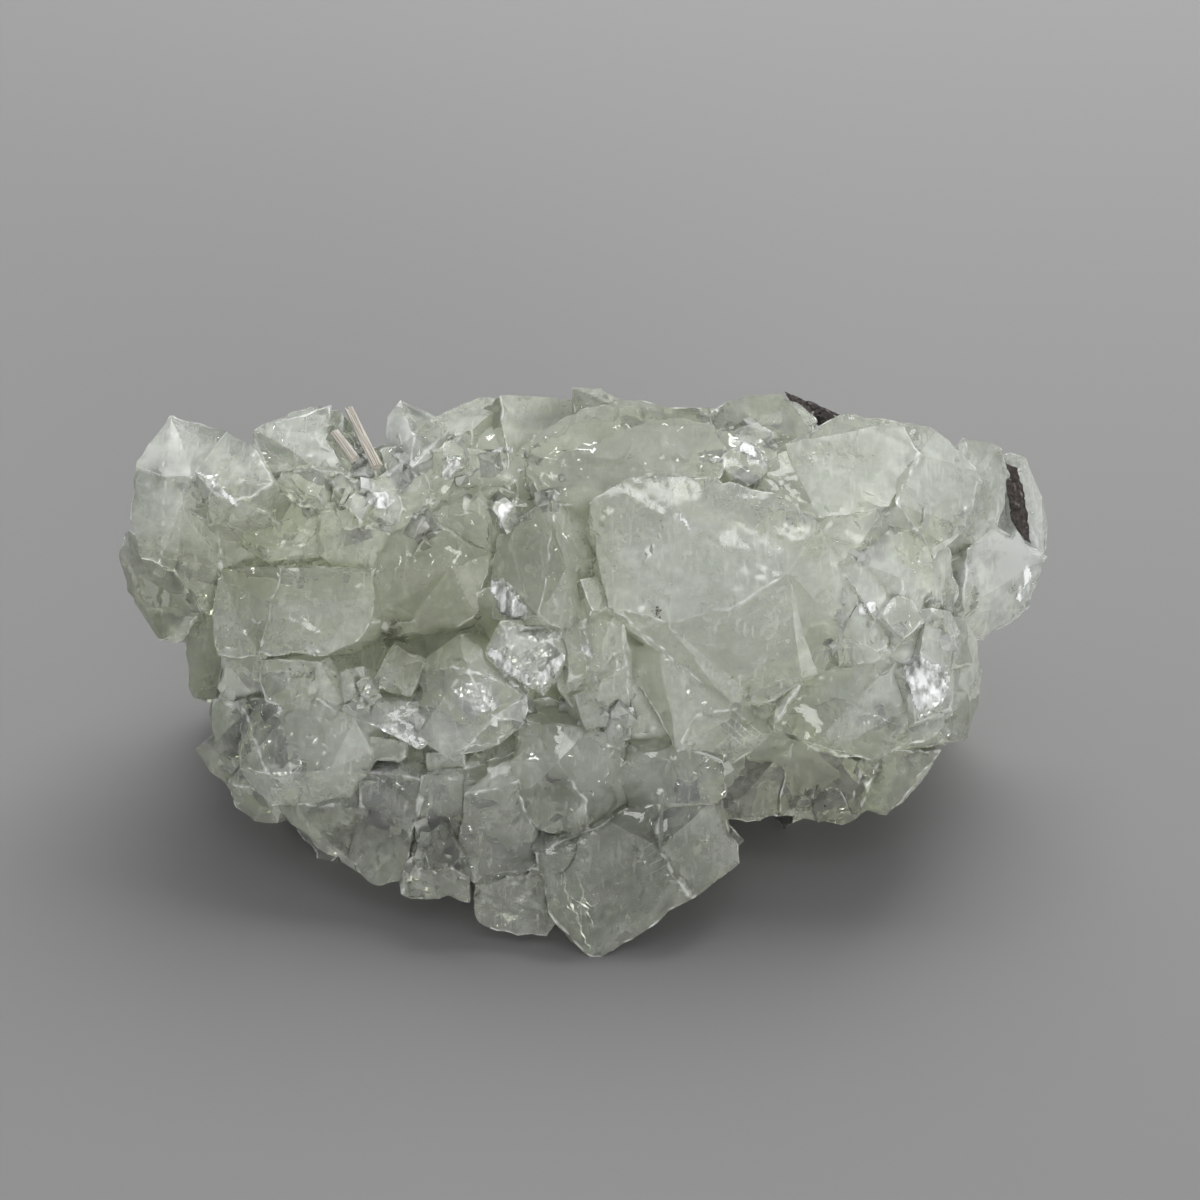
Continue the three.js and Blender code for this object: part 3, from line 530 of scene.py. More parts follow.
# Where small flakes flash: middle across and up in millimetres, reach across and up, how many
# flakes and how large the largest is.
FLASHES = [
    (-28.6, 14.4, 1.2, 1.4, 8, 0.7), (-25.5, 17.5, 0.8, 0.6, 5, 0.6),
    (-15.2, 13.4, 1.8, 1.2, 22, 0.7), (-16.8, 12.4, 1, 0.8, 8, 0.6), (-24.6, 4, 1.2, 1.6, 10, 0.5),
    (-20.2, 1.7, 0.9, 0.4, 6, 0.6), (-10, 16, 1.2, 0.9, 10, 0.6), (-6.2, 17.4, 1, 0.4, 8, 0.6),
    (-3.2, 9.5, 2, 2.4, 12, 0.5), (-3.8, 1, 2.4, 1.8, 14, 0.5), (-15.8, -1, 1.4, 1, 10, 0.6),
    (-13, -3.6, 4.6, 1.4, 26, 0.5), (-8, -1, 2.8, 2.4, 12, 0.5), (-21.2, -5.4, 3, 1.2, 16, 0.6),
    (-22.6, -7.6, 1.4, 1, 8, 0.6), (-30.3, -4.3, 0.7, 0.7, 5, 0.5), (8, -16, 0.8, 0.8, 8, 0.5),
    (8.2, 11.8, 1.4, 1.4, 8, 0.6), (9.6, 17, 0.8, 0.7, 6, 0.5), (13.2, 17.6, 2, 2, 14, 0.6),
    (20, 16.5, 2, 1.4, 8, 0.6), (26.6, -1.2, 1.8, 2.6, 16, 0.5), (28.6, 3.4, 1, 1.8, 10, 0.6),
    (24, 5.5, 3.4, 3.6, 40, 0.6), (35.4, 7, 0.8, 1.8, 8, 0.5), (3, -3, 1.6, 2.8, 22, 0.5),
    (0.6, -13.6, 1, 1, 8, 0.4), (-10.6, -13, 1.8, 1.6, 14, 0.5), (17.5, -10.8, 4, 0.8, 10, 0.5),
]

# Crumpled crack sheets that reflect like foil under the surface: corners across and up in
# millimetres, depth below the surface and height of the crumples.
CRACK_SHEETS = [
    ([(-7, 8), (-6.2, 7.6), (-4.4, 6.2), (-3.4, 4.4), (-5, 4.2), (-6.4, 4.8), (-6.8, 6)], 0.15, 0.3),
    ([(-6.4, 13.1), (-4.6, 13.4), (-5.6, 12), (-6.3, 10.9)], 0.2, 0.12),
    ([(-7, 1.4), (-6.2, 3.6), (-2, 3.6), (-1.2, 0.7), (-2.8, -1.1), (-5.1, 0)], 0.45, 0.26),
    ([(24.6, 0.8), (25.4, 1.6), (28.3, -0.2), (28, -1.6), (26, -3.4), (25.2, -2)], 0.15, 0.34),
    ([(28.2, 4.5), (29.6, 3), (29.3, 0.8), (28, 2.2)], 0.5, 0.14),
    ([(21.3, 5.6), (22.9, 5.6), (22.5, 4.6), (21.4, 4.4)], 0.3, 0.16),
    ([(28.3, 7.1), (31.2, 8.9), (31, 6.9), (29.1, 6.3)], 0.5, 0.1),
    ([(35.8, 8.8), (36.6, 8), (36.2, 5.8), (35.2, 5.2), (35.3, 7.2)], 0.35, 0.18),
    ([(-29.2, 15.5), (-28.2, 15.2), (-26.2, 13.2), (-27.8, 13.6)], 0.35, 0.14),
    ([(-16, 14), (-14.6, 13.8), (-14.8, 12.8), (-15.8, 12.9)], 0.3, 0.18),
    ([(-10.8, 15.4), (-9.5, 16.6), (-9, 15.9), (-10.1, 14.9)], 0.3, 0.16),
    ([(-16, -0.1), (-15.2, -0.6), (-16.8, -1.8)], 0.3, 0.12),
    ([(-21, 2.1), (-19.4, 1.6), (-20.8, 1.2)], 0.3, 0.1),
    ([(-24.2, -7), (-21.2, -6.8), (-22.7, -8.4)], 0.35, 0.14),
    ([(-14.8, -4.4), (-12.2, -5.2), (-9.8, -6), (-12.2, -4.2)], 0.3, 0.12),
    ([(11.8, 18.9), (14.9, 16.4), (14.2, 15.6), (11.7, 17.4)], 0.35, 0.16),
    ([(7.3, 12.8), (8.8, 11.4), (8.9, 10.8), (7.4, 11.6)], 0.3, 0.14),
    ([(7.6, -15.3), (8.6, -16.7), (7.4, -16.2)], 0.3, 0.12),
    ([(1.2, -1.2), (3, -2.6), (3.4, -5), (2, -4.6)], 0.4, 0.2),
    ([(-9.6, -1), (-7.2, -0.2), (-5.8, -2.4), (-8.4, -3.6)], 0.7, 0.16),
]

# Corners of the splintered white faces, which lie on the surface itself. Their white is partly frost
# and partly a painted highlight where the crystals glint.
FROST_AND_GLINT_FACES = [
    [(-7.1, 7.6), (-6.2, 7.1), (-5.2, 6.4), (-4.5, 5.7), (-3.4, 4.3), (-5.4, 4.3), (-6.3, 5.2),
     (-6.7, 6.2)],
    [(-6.4, 12.9), (-4.6, 13.5), (-5.6, 12.2), (-6.3, 10.9)],
    [(-7.1, 1.8), (-6.2, 2), (-4.6, 0.6), (-3.4, -0.6), (-4.4, -1.2), (-5.7, -0.4)],
    [(-2.8, 0.4), (-1.4, 1.9), (-1, 1.2), (-1.6, 0), (-2.8, -1), (-3.3, -0.5)],
    [(24.8, 1.1), (25.9, 1.5), (28.8, 0), (27.8, -1.7), (26.9, -2.5), (26.2, -3.3), (25.4, -2.3),
     (24.8, -0.6)],
    [(-16.2, 13.9), (-14.8, 14.1), (-14.3, 13.2), (-15.4, 12.6), (-16.3, 13)],
    [(-29.4, 15.8), (-28.4, 15.3), (-26, 13.2), (-26.3, 12.7), (-28.4, 14.6), (-29.3, 15.3)],
    [(-10.9, 15.6), (-9.6, 16.7), (-9.2, 16.2), (-10.4, 15.1)],
    [(-7.1, 17.6), (-5.3, 17.9), (-5.2, 17.3), (-7, 17)],
    [(21.3, 5.6), (22.9, 5.6), (22.5, 4.7), (21.4, 4.4)],
    [(35.9, 9), (36.5, 7.6), (35.4, 5.4), (35, 5.7)],
    [(7.4, 12.7), (8, 12.1), (8.7, 11), (8.2, 11.1), (7.5, 11.9)],
    [(0.2, 2.5), (1.1, 1.9), (1.2, 1.1), (0.3, 1.6)],
    [(11.9, 18.8), (13.2, 18), (14.8, 16.5), (14, 16.2), (12.4, 17.2)],
]
FROST_DEPTH = -0.03
FROST_CRUMPLE = 0.1

# In millimetres: the grid of a sheet, its thickness, how far its outline strays, how high its
# ridges and its small folds are, and the step in the surface that breaks a sheet or a stroke.
SHEET_STEP = 0.14
SHEET_THICKNESS = 0.03
OUTLINE_WAVER = 0.35
RIDGES = 0.3
FOLDS = 0.15
MOST_JUMP = 0.5
FEWEST_PLACES = 8

REFRACTION = 1.535
# Towards the light overhead, which the flakes and sheets mirror to the front.
MIRRORED = Vector((0, -0.08, 0.99)).normalized()


def mirror_facing(skin):
    """How a flake lies that mirrors the overhead light to the front through a skin facing that way."""
    facing = Vector((0, 0, 0))
    for towards in (OUT, MIRRORED):
        along = (towards - skin * towards.dot(skin)) / REFRACTION
        facing += along + skin * math.sqrt(1 - along.length_squared)
    return facing.normalized()


def surface_below(tree, across, up):
    """The point of the crystals' surface in front of that place of the display face."""
    hit, normal, _, _ = tree.ray_cast(to_row(across, up, 30), -OUT)
    return hit, normal


def build_flashes(tree):
    """Crowds of mirror-like flakes just under the surface, where old cracks catch the light."""
    random = np.random.default_rng(909)
    pile = Pile()
    for across, up, reach_across, reach_up, count, largest in FLASHES:
        for _ in range(count):
            shift = random.normal(0, 0.6, 2)
            place = across + shift[0] * reach_across, up + shift[1] * reach_up
            hit, normal = surface_below(tree, *place)
            if hit is None:
                continue
            size = largest * (0.15 + 0.85 * random.random() ** 2) * MM
            depth = (0.15 + 0.9 * random.random()) * MM + size * 0.25
            facing = mirror_facing(normal) + Vector(random.normal(0, 0.1, 3))
            pile.add(*lens(hit - normal * depth, facing.normalized(), size, random, 0.5, 0.04))
    pile.build("crack_flashes", flash_material("crack_flashes"))


def inside_outline(point, outline):
    """Whether a point lies inside a closed outline of points in a plane."""
    x, y = point
    inside = False
    for (x1, y1), (x2, y2) in zip(outline, outline[1:] + outline[:1]):
        if (y1 > y) != (y2 > y) and x < x1 + (y - y1) / (y2 - y1) * (x2 - x1):
            inside = not inside
    return inside


def sheet_grid(tree, corners, crumple, seed):
    """A grid over a ragged outline: the number of each place, each place's across, up, out and fold
    in millimetres, and the surface's mean way out."""
    xs, ys = zip(*corners)
    across = np.arange(min(xs) - SHEET_STEP, max(xs) + 2 * SHEET_STEP, SHEET_STEP)
    up = np.arange(min(ys) - SHEET_STEP, max(ys) + 2 * SHEET_STEP, SHEET_STEP)
    shift = Vector((seed * 3.7, seed * 1.3, 0))
    numbers, rows, skin = {}, [], Vector((0, 0, 0))
    for i, x in enumerate(across):
        for j, y in enumerate(up):
            waver = noise.noise_vector(Vector((x, y, 0)) * 1.6 + shift) * OUTLINE_WAVER
            if not inside_outline((x + waver.x, y + waver.y), corners):
                continue
            hit, normal = surface_below(tree, x, y)
            if hit is None:
                continue
            ridges = 1 - abs(noise.noise(Vector((x * 1.3, y * 1.3, 0)) + shift)) * 2
            folds = RIDGES * ridges + FOLDS * noise.noise(Vector((x * 4, y * 4, 5)) + shift)
            numbers[i, j] = len(rows)
            rows.append((x, y, (hit - DISPLAY_MIDDLE).dot(OUT) / MM, folds * crumple))
            skin += normal
    return numbers, np.array(rows), skin.normalized()


def closed_sheet(numbers, points, level):
    """A thin sheet over the places of a grid, closed all round: its points and triangles."""
    triangles = []
    for (i, j), a in numbers.items():
        b, c, d = (numbers.get(place) for place in ((i + 1, j), (i + 1, j + 1), (i, j + 1)))
        for t in ((a, b, c), (a, c, d)):
            if None not in t and np.ptp(level[list(t)]) < MOST_JUMP:
                triangles.append(t)
    sides = {side: True for t in triangles for side in zip(t, t[1:] + t[:1])}
    walls = [(one, two) for one, two in sides if (two, one) not in sides]
    count = len(points)
    points = points + [p - OUT * SHEET_THICKNESS * MM for p in points]
    triangles += [(a + count, c + count, b + count) for a, b, c in triangles]
    for one, two in walls:
        triangles += [(two, one, one + count), (two, one + count, two + count)]
    used = sorted({k for t in triangles for k in t})
    place = {k: n for n, k in enumerate(used)}
    return [points[k] for k in used], [[place[k] for k in t] for t in triangles]


def crack_sheet(tree, corners, depth, crumple, seed, follows=False):
    """A thin crumpled sheet: its points and triangles. It follows the surface, or else keeps to one
    leaning plane under it, so that it catches the light as one face."""
    numbers, rows, skin = sheet_grid(tree, corners, crumple, seed)
    if len(rows) < FEWEST_PLACES:
        return [], []
    x, y, level, folds = rows.T
    level = level - depth
    if follows:
        level = level + folds
    else:
        facing = mirror_facing(skin)
        fall = facing.dot(ACROSS) * (x.mean() - x) + facing.dot(UP_SLOPE) * (y.mean() - y)
        plane = fall / facing.dot(OUT)
        level = np.minimum(level, plane + np.percentile(level - plane, 30) + folds)
    return closed_sheet(numbers, [to_row(*place) for place in zip(x, y, level)], level)


def build_crack_sheets(tree):
    """Crumpled cracks under the surface that catch the light as one face each."""
    pile = Pile()
    for i, (corners, depth, crumple) in enumerate(CRACK_SHEETS):
        pile.add(*crack_sheet(tree, corners, depth, crumple, i + 1))
    pile.build("crack_sheets", flash_material("crack_sheets"))


def build_frost_and_glint_faces(tree):
    """Splintered faces that follow the surface, just above it: partly frost, partly a painted
    highlight.
    """
    pile = Pile()
    for i, corners in enumerate(FROST_AND_GLINT_FACES):
        pile.add(*crack_sheet(tree, corners, FROST_DEPTH, FROST_CRUMPLE, i + 40, follows=True))
    pile.build("frost_and_glint_faces", frost_and_glint_material())


# ------------------------------------------------------------------ cracks, gaps and growth lines

# White cracks and worn edges drawn along the surface, and painted highlights along glinting ridges
# and edges: corners across and up in millimetres, and width.
STROKES = [
    ([(-18, -2.3), (-16, -3.7), (-14, -4.2), (-12, -5.3), (-9.3, -6.4)], 0.16),
    ([(-9.3, -6.4), (-8, -5.2), (-5.9, -5.2), (-4, -3.5)], 0.14),
    ([(-29.2, 15.5), (-28, 14.2), (-26, 12.9)], 0.3), ([(-26, 12.9), (-24.5, 12.4)], 0.14),
    ([(-10.8, 15.4), (-9.5, 16.4)], 0.26), ([(-7, 17.3), (-5.3, 17.6)], 0.22),
    ([(-4, 15.2), (-3.6, 13.6)], 0.18), ([(7.3, 12.8), (8.2, 11.6), (9, 10.8)], 0.24),
    ([(-24, 9.3), (-22, 9.7), (-20.2, 10.2)], 0.1), ([(-17.9, 4), (-16.6, 2.8)], 0.1),
    ([(35.8, 8.8), (35.5, 7.2), (35, 5.5)], 0.3), ([(11.8, 19), (13.6, 17.5), (15, 16.3)], 0.24),
    ([(11.6, 17.2), (13, 15.6), (14.2, 14.3)], 0.2), ([(-6.2, 12.6), (-6.3, 11)], 0.2),
    ([(-1.2, -14.6), (-0.9, -16.4), (-0.1, -18), (0.3, -19.6), (1, -20.8)], 0.26),
    ([(-0.2, -14.8), (0.3, -16.2), (0, -17.6)], 0.2),
    ([(-0.9, -16.4), (0.6, -17.4), (1.1, -19)], 0.16),
    ([(6.4, 4), (9, 4.4), (11, 4.9), (12.2, 5.4), (14.4, 7.2)], 0.12),
    ([(2, 4.2), (4, 2.8), (7, 1), (9.4, -1.6)], 0.12), ([(8.6, 7.6), (9, 6.6), (9.2, 5.2)], 0.1),
    ([(-24.4, -7.3), (-22.7, -8.3), (-21, -7)], 0.14), ([(-21, 2), (-19.4, 1.4)], 0.18),
    ([(-6.9, 0.6), (-5.2, -0.2), (-3.1, -1.5), (-1.9, -0.3), (-1.2, 0.9)], 0.2),
    ([(-6.6, 3.4), (-4, 3.7), (-1.6, 3.6)], 0.14),
    ([(-5.2, 0.9), (-4.4, 0.2), (-3.6, 0.6), (-2.8, -0.6)], 0.22),
    ([(-7.2, 8), (-6.6, 6), (-5.6, 4.9), (-4, 4.7)], 0.2),
    ([(0.2, 2.4), (0.8, 1.6), (1.6, 1.3)], 0.16), ([(0, 1.9), (0.6, 1), (1.4, 0.8)], 0.12),
    ([(7.5, -15.3), (8.5, -16.9)], 0.2), ([(24.6, 1.4), (25, -0.6), (25.9, -3.4), (27, -2.6)], 0.2),
    ([(25.4, 1.6), (27.2, 0.9), (28.2, -0.1)], 0.14), ([(-15.6, 13.4), (-14.4, 13)], 0.3),
    ([(-17.2, 12.4), (-15.8, 11.4), (-14.6, 11.2)], 0.14), ([(-30.6, -4), (-30, -4.7)], 0.2),
    ([(28.3, 4.4), (29, 2.6), (29.1, 1)], 0.14), ([(-12.4, -0.8), (-9.6, -0.2), (-7.4, -0.8)], 0.1),
    ([(-5.4, -9), (-4.2, -8.2), (-2.4, -7.6)], 0.1),
    ([(14.6, -4.6), (18, -5.4), (21.4, -6.2)], 0.1),
    ([(20.4, -2.2), (22.6, -3.2), (24.4, -4)], 0.12),
]

# Painted shade: dark lines where crystals meet and where crevices and edges look dark, drawn in the
# same way.
SHADE_LINES = [
    ([(-9, 15.2), (-7.6, 16), (-6.4, 16.7)], 0.22), ([(-4.2, 17.5), (-4.1, 16.2), (-4, 15.1)], 0.2),
    ([(9.8, 20.6), (10.8, 20.8), (11.7, 21)], 0.1),
    ([(-6.7, 13.2), (-7.1, 11.6), (-7.2, 9.4)], 0.16),
    ([(-4, 13.4), (-2.4, 14.2), (-0.8, 12.2), (0.4, 9.8)], 0.14),
    ([(-1.9, 3.4), (-1.7, 2.2), (-1.4, 1)], 0.2), ([(-2.6, 3.3), (-2.5, 2.2)], 0.16),
    ([(-3.4, 3.4), (-3.3, 2.8)], 0.14), ([(-24.3, 8.2), (-23.4, 8.6), (-22.8, 9.2)], 0.2),
    ([(-21.4, 8.6), (-20.6, 9), (-19.9, 9.5)], 0.18),
    ([(-19.8, 2.6), (-17.4, 2.3), (-15.6, 2.5)], 0.1),
    ([(-17.4, 1.8), (-16.8, 0.2), (-16.6, -1.6)], 0.1),
    ([(-9.6, 3.2), (-8.2, 4), (-7.4, 4.6)], 0.16), ([(28.3, 1.4), (27.4, 1.9), (26.2, 2.4)], 0.12),
    ([(26.8, -2.8), (27.6, -2.4)], 0.16), ([(34.4, 7.2), (34.9, 6.2), (34.7, 5.2)], 0.24),
    ([(34, 4.2), (34.8, 3.6)], 0.16), ([(0.6, -3.4), (1.4, -5.2), (2.4, -6.4)], 0.14),
    ([(4.4, -13.2), (5, -14.6), (6.4, -16.6)], 0.1), ([(8.4, -9.4), (9, -10.6), (8.8, -12)], 0.12),
    ([(-12.2, -12.2), (-11.2, -13.6)], 0.14), ([(-4.6, -13.4), (-4, -15.2), (-2.6, -17.4)], 0.1),
    ([(12.6, 14.6), (13.2, 12.8), (14.6, 11.4)], 0.1),
    ([(19.6, 3.6), (20.4, 1.8), (20.2, 0.2)], 0.1), ([(2.2, 4), (2.9, 1.2), (4.2, -1.4)], 0.1),
]

# Rows of fine parallel growth lines, drawn white partly as painted glints: where the first starts and
# ends, the step to the next, how many, and their width.
GROWTH_LINES = [
    ((-23.2, -5), (-19.3, -5.9), (0.1, -0.42), 5, 0.09),
    ((2.6, 11.6), (4.4, 9.8), (0.12, -0.62), 11, 0.07),
    ((-26, 18.6), (-22.6, 17.2), (0.2, -0.7), 4, 0.05), ((17, 9), (21, 10.4), (0.2, -0.5), 4, 0.05),
    ((-3.4, 12.4), (-1.2, 7.6), (0.45, 0.1), 5, 0.07),
    ((9.4, -2.8), (13.4, -6.2), (0.4, 0.35), 4, 0.05),
    ((-20, 6.8), (-16.6, 6), (0.1, -0.5), 4, 0.06), ((28, 9.6), (31.2, 8.2), (0.1, -0.5), 4, 0.07),
    ((4.2, -13.4), (7.2, -11.8), (0.2, -0.6), 4, 0.06),
    ((24.8, 1), (26.6, -2.6), (0.32, 0.12), 7, 0.12),
]

# In millimetres: the step along a stroke and its thickness; and, in metres, the size of its tears.
STROKE_STEP = 0.14
STROKE_THICKNESS = 0.03
TEAR_SIZE = 0.35 * MM


def path_places(tree, corners, depth, wobble, random):
    """Runs of places a little under the surface along a path, broken where the surface jumps."""
    runs, run, last = [], [], None
    shift = Vector(random.random(3)) * 50
    for (x1, y1), (x2, y2) in zip(corners, corners[1:]):
        count = max(2, int(math.hypot(x2 - x1, y2 - y1) / STROKE_STEP))
        for k in range(count):
            x, y = x1 + (x2 - x1) * k / count, y1 + (y2 - y1) * k / count
            bend = noise.noise_vector(Vector((x, y, 0)) * 1.8 + shift) * wobble
            hit, _ = surface_below(tree, x + bend.x, y + bend.y)
            if hit is None or (last and abs((hit - last).dot(OUT)) > MOST_JUMP * MM):
                runs.append(run)
                run = []
            if hit is not None:
                run.append(hit - OUT * depth * MM)
            last = hit
    runs.append(run)
    return [r for r in runs if len(r) > 2]


def add_stroke(pile, places, width, random):
    """A thin closed strip along those places, wide in places and torn thin in others."""
    shift = Vector(random.random(3)) * 50
    count = len(places)
    points = []
    for k, place in enumerate(places):
        along = places[min(k + 1, count - 1)] - places[max(k - 1, 0)]
        side = along.cross(OUT).normalized()
        share = min(k, count - 1 - k) / (count - 1) * 2
        torn = 0.25 + 1.5 * abs(noise.noise(place / TEAR_SIZE + shift))
        half = side * width * 0.5 * torn * (0.2 + 0.8 * share ** 0.5) * MM
        thick = OUT * STROKE_THICKNESS * 0.5 * MM
        top, bottom = place + thick, place - thick
        points += [top + half, top - half, bottom - half, bottom + half]
    triangles = [(0, 1, 2), (0, 2, 3)]
    for k in range(count - 1):
        a = 4 * k
        for c in range(4):
            d = (c + 1) % 4
            triangles += [(a + c, a + 4 + c, a + 4 + d), (a + c, a + 4 + d, a + d)]
    last = 4 * (count - 1)
    triangles += [(last, last + 2, last + 1), (last, last + 3, last + 2)]
    pile.add(points, triangles)


def add_path(pile, tree, corners, depth, wobble, width, random):
    """Strokes along a path, one for each run that the surface breaks it into."""
    for run in path_places(tree, corners, depth, wobble, random):
        add_stroke(pile, run, width, random)


def build_strokes(tree):
    """White cracks with thin branches, painted highlights along glinting ridges, and rows of growth
    lines.
    """
    random = np.random.default_rng(515)
    pile = Pile()
    for corners, width in STROKES:
        add_path(pile, tree, corners, 0.12, 0.22, width, random)
        # thin branches beside the main crack
        for _ in range(3):
            shift = random.normal(0, 0.25, 2)
            beside = [(x + shift[0], y + shift[1]) for x, y in corners]
            for run in path_places(tree, beside, 0.25, 0.4, random):
                start, length = random.integers(len(run)), random.integers(3, 9)
                part = run[start:start + length]
                if len(part) > 2:
                    add_stroke(pile, part, width * 0.5, random)
    for start, end, step, count, width in GROWTH_LINES:
        start, end, step = map(np.array, (start, end, step))
        for k in range(count):
            trim = random.random(2) * 0.3
            ends = [start + (end - start) * t + step * k for t in (trim[0], 1 - trim[1])]
            add_path(pile, tree, ends, 0.1, 0.06, width, random)
    pile.build("white_cracks_and_glints", speckled_material("white_cracks_and_glints", *CRACK_AND_GLINT_LOOK))


def build_painted_shade_lines(tree):
    """Painted shade: dark lines a little under the surface, where crystals meet."""
    random = np.random.default_rng(616)
    pile = Pile()
    for corners, width in SHADE_LINES:
        add_path(pile, tree, corners, 0.35, 0.3, width, random)
    pile.build("painted_shade_lines", speckled_material("painted_shade_lines", *SHADE_LINE_LOOK))


# ------------------------------------------------------------------ host rock, laths and grime

# How finely the rock and the laths are meshed.
ROCK_EDGE = 0.13 * MM
LATH_EDGE = 0.11 * MM
# How wide a lath's ribs are both ways across it, and how long, in millimetres.
RIB_SIZE = (0.10, 0.12, 3.0)


def finely_meshed(node, edge):
    """A node's points, triangles and facets, with no edge longer than that."""
    points, triangles, facet = facets_of(node)
    return refine(points, triangles, facet, np.full(facet.max() + 1, edge))


def build_basalt(node, seed):
    """Rough grainy host rock: the chip's shape with a broken, pitted skin."""
    points, triangles, facet = finely_meshed(node, ROCK_EDGE)
    direction = vertex_directions(points, triangles, facet_normals(points, triangles, facet)[facet])
    coarse = noise_at(points, 0.7 * MM, seed, 4) * 0.14
    fine = noise_at(points, 0.22 * MM, seed + 1, 2) * 0.04
    pits = np.clip(noise_at(points, 0.35 * MM, seed + 2) - 0.25, 0, 1) * 0.25
    height = np.clip(coarse + fine - pits - 0.04, -0.3, 0.08) * MM
    obj = mesh_object("rock_" + node.name, points + direction * height[:, None], triangles)
    obj.data.materials.append(basalt_material())
    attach(obj, "root")
    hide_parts(node.name)


def build_lath(node, seed):
    """A stilbite lath with worn corners, its sides finely ribbed along their length."""
    points, triangles, _ = finely_meshed(node, LATH_EDGE)
    centre = points.mean(axis=0)
    axes = np.linalg.svd(points - centre, full_matrices=False)[2]
    place = (points - centre) @ axes.T
    share = np.abs(place / np.abs(place).max(axis=0))
    shift = Vector((seed * 5.1, seed * 2.3, 0))
    scaled = place[:, [1, 2, 0]] / RIB_SIZE
    ribs = 0.5 + np.array([noise.noise(Vector(p) / MM + shift) for p in scaled])
    worn = np.abs(noise_at(points, 0.5 * MM, seed, 2))
    narrow = 1 - 0.10 * (share[:, 1] * share[:, 2]) ** 2 - 0.22 * ribs - 0.08 * worn
    place[:, 1:] *= narrow[:, None]
    place[:, 0] *= 1 - 0.10 * ribs * share[:, 0]
    obj = mesh_object("lath_" + node.name, place @ axes + centre, triangles)
    set_values(obj, "rib", np.clip(ribs, 0, 1))
    obj.data.materials.append(stilbite_material())
    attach(obj, "root")
    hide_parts(node.name)


# Where dirt lies: middle across and up, reach, how many grains and the size of the largest.
GRAINS = [
    (5.9, 4.8, 0.35, 26, 0.11), (5.4, 4.4, 0.6, 8, 0.07), (7.1, 7, 0.1, 2, 0.09),
    (6.3, 11.8, 0.1, 2, 0.08), (3.7, 17, 0.35, 5, 0.08), (15.9, 9.8, 0.1, 1, 0.1),
    (11.7, -0.1, 0.15, 2, 0.09), (12, 5.4, 0.1, 1, 0.09), (1.9, 6.1, 0.3, 6, 0.07),
    (1.7, 5.2, 0.2, 3, 0.07), (-3.2, 16.2, 0.5, 10, 0.07), (-22.3, 0.3, 0.15, 4, 0.12),
    (-20.6, 0.1, 0.15, 4, 0.11), (-21.3, 0.9, 0.2, 4, 0.1), (-18.8, -0.2, 0.15, 3, 0.1),
    (0.9, -8.8, 0.1, 2, 0.12), (-12.6, -14.9, 0.15, 4, 0.11), (-15.8, 18.4, 0.6, 16, 0.06),
    (27, -3, 0.5, 7, 0.08), (34.9, 6.4, 0.5, 8, 0.1), (19.1, -10.3, 0.1, 2, 0.12),
    (30.4, 3, 0.2, 2, 0.08), (8, 8, 6, 22, 0.045), (-8, 2, 9, 26, 0.045), (-22, 8, 8, 18, 0.045),
    (20, 4, 7, 14, 0.045),
]

# Lint: the places that each fibre passes through, across and up, and its width.
FIBRE_WIDTH = 0.05
FIBRES = [
    [(-20.3, 17.6), (-19.9, 17.4), (-19.4, 17.2)],
    [(-12.3, 7), (-12.1, 6.8), (-11.8, 6.85), (-11.6, 6.6)],
    [(-10.7, -11.6), (-10.4, -12.1), (-10.5, -12.6)],
    [(5.6, 9.9), (5.4, 9.5), (5.6, 9.1), (5.3, 8.8)],
]


def add_grain(pile, centre, size, random):
    """A speck of dirt: an uneven octahedron, its corners two on each axis."""
    corners = [Vector(c) * side for c in ((1, 0, 0), (0, 1, 0), (0, 0, 1)) for side in (1, -1)]
    points = [centre + c * size * random.uniform(0.5, 1.1) for c in corners]
    triangles = []
    for x in (0, 1):
        for y in (2, 3):
            for z in (4, 5):
                turned = (x + y + z) % 2 == 0
                triangles.append((x, y, z) if turned else (x, z, y))
    pile.add(points, triangles)


def build_grime(tree):
    """Dirt specks and lint on the surface."""
    random = np.random.default_rng(626)
    pile = Pile()
    for across, up, reach, count, largest in GRAINS:
        for _ in range(count):
            shift = random.normal(0, 0.6 * reach, 2)
            hit, normal = surface_below(tree, across + shift[0], up + shift[1])
            if hit is not None:
                size = largest * random.uniform(0.4, 1.0) * MM
                add_grain(pile, hit + normal * size * 0.2, size, random)
    for places in FIBRES:
        add_path(pile, tree, places, -0.03, 0.05, FIBRE_WIDTH, random)
    obj = mesh_object("dirt", np.array(pile.points), np.array(pile.triangles))
    obj.data.materials.append(grime_material())
    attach(obj, "root")


# ------------------------------------------------------------------ small crystals

def small_crystal(at, axis, spin, width, tall, bite):
    """A square prism with its top corners cut by pyramid faces: its points and triangles."""
    c = Vector(axis).normalized()
    side = Matrix.Rotation(spin, 3, c) @ c.orthogonal().normalized()
    other = c.cross(side)
    half = width / 2
    corners = [(1, 1), (-1, 1), (-1, -1), (1, -1)]
    cut = min(bite * 1.25, 0.92)

    def put(x, y, z):
        return Vector(at) + side * (x * half) + other * (y * half) + c * z

    points = [put(x, y, -tall) for x, y in corners]
    points += [put(x, y, -bite * half) for x, y in corners]
    for i, (x, y) in enumerate(corners):
        before, after = corners[i - 1], corners[(i + 1) % 4]
        for towards in (before, after):
            points.append(put(x + (towards[0] - x) * cut / 2, y + (towards[1] - y) * cut / 2, 0))
    faces = [(3, 2, 1, 0), (8, 9, 10, 11, 12, 13, 14, 15)]
    for i in range(4):
        j = (i + 1) % 4
        faces.append((4 + i, 9 + 2 * i, 8 + 2 * i))
        faces.append((i, j, 4 + j, 8 + 2 * j, 9 + 2 * i, 4 + i))
    triangles = [(f[0], f[k], f[k + 1]) for f in faces for k in range(1, len(f) - 1)]
    return points, triangles


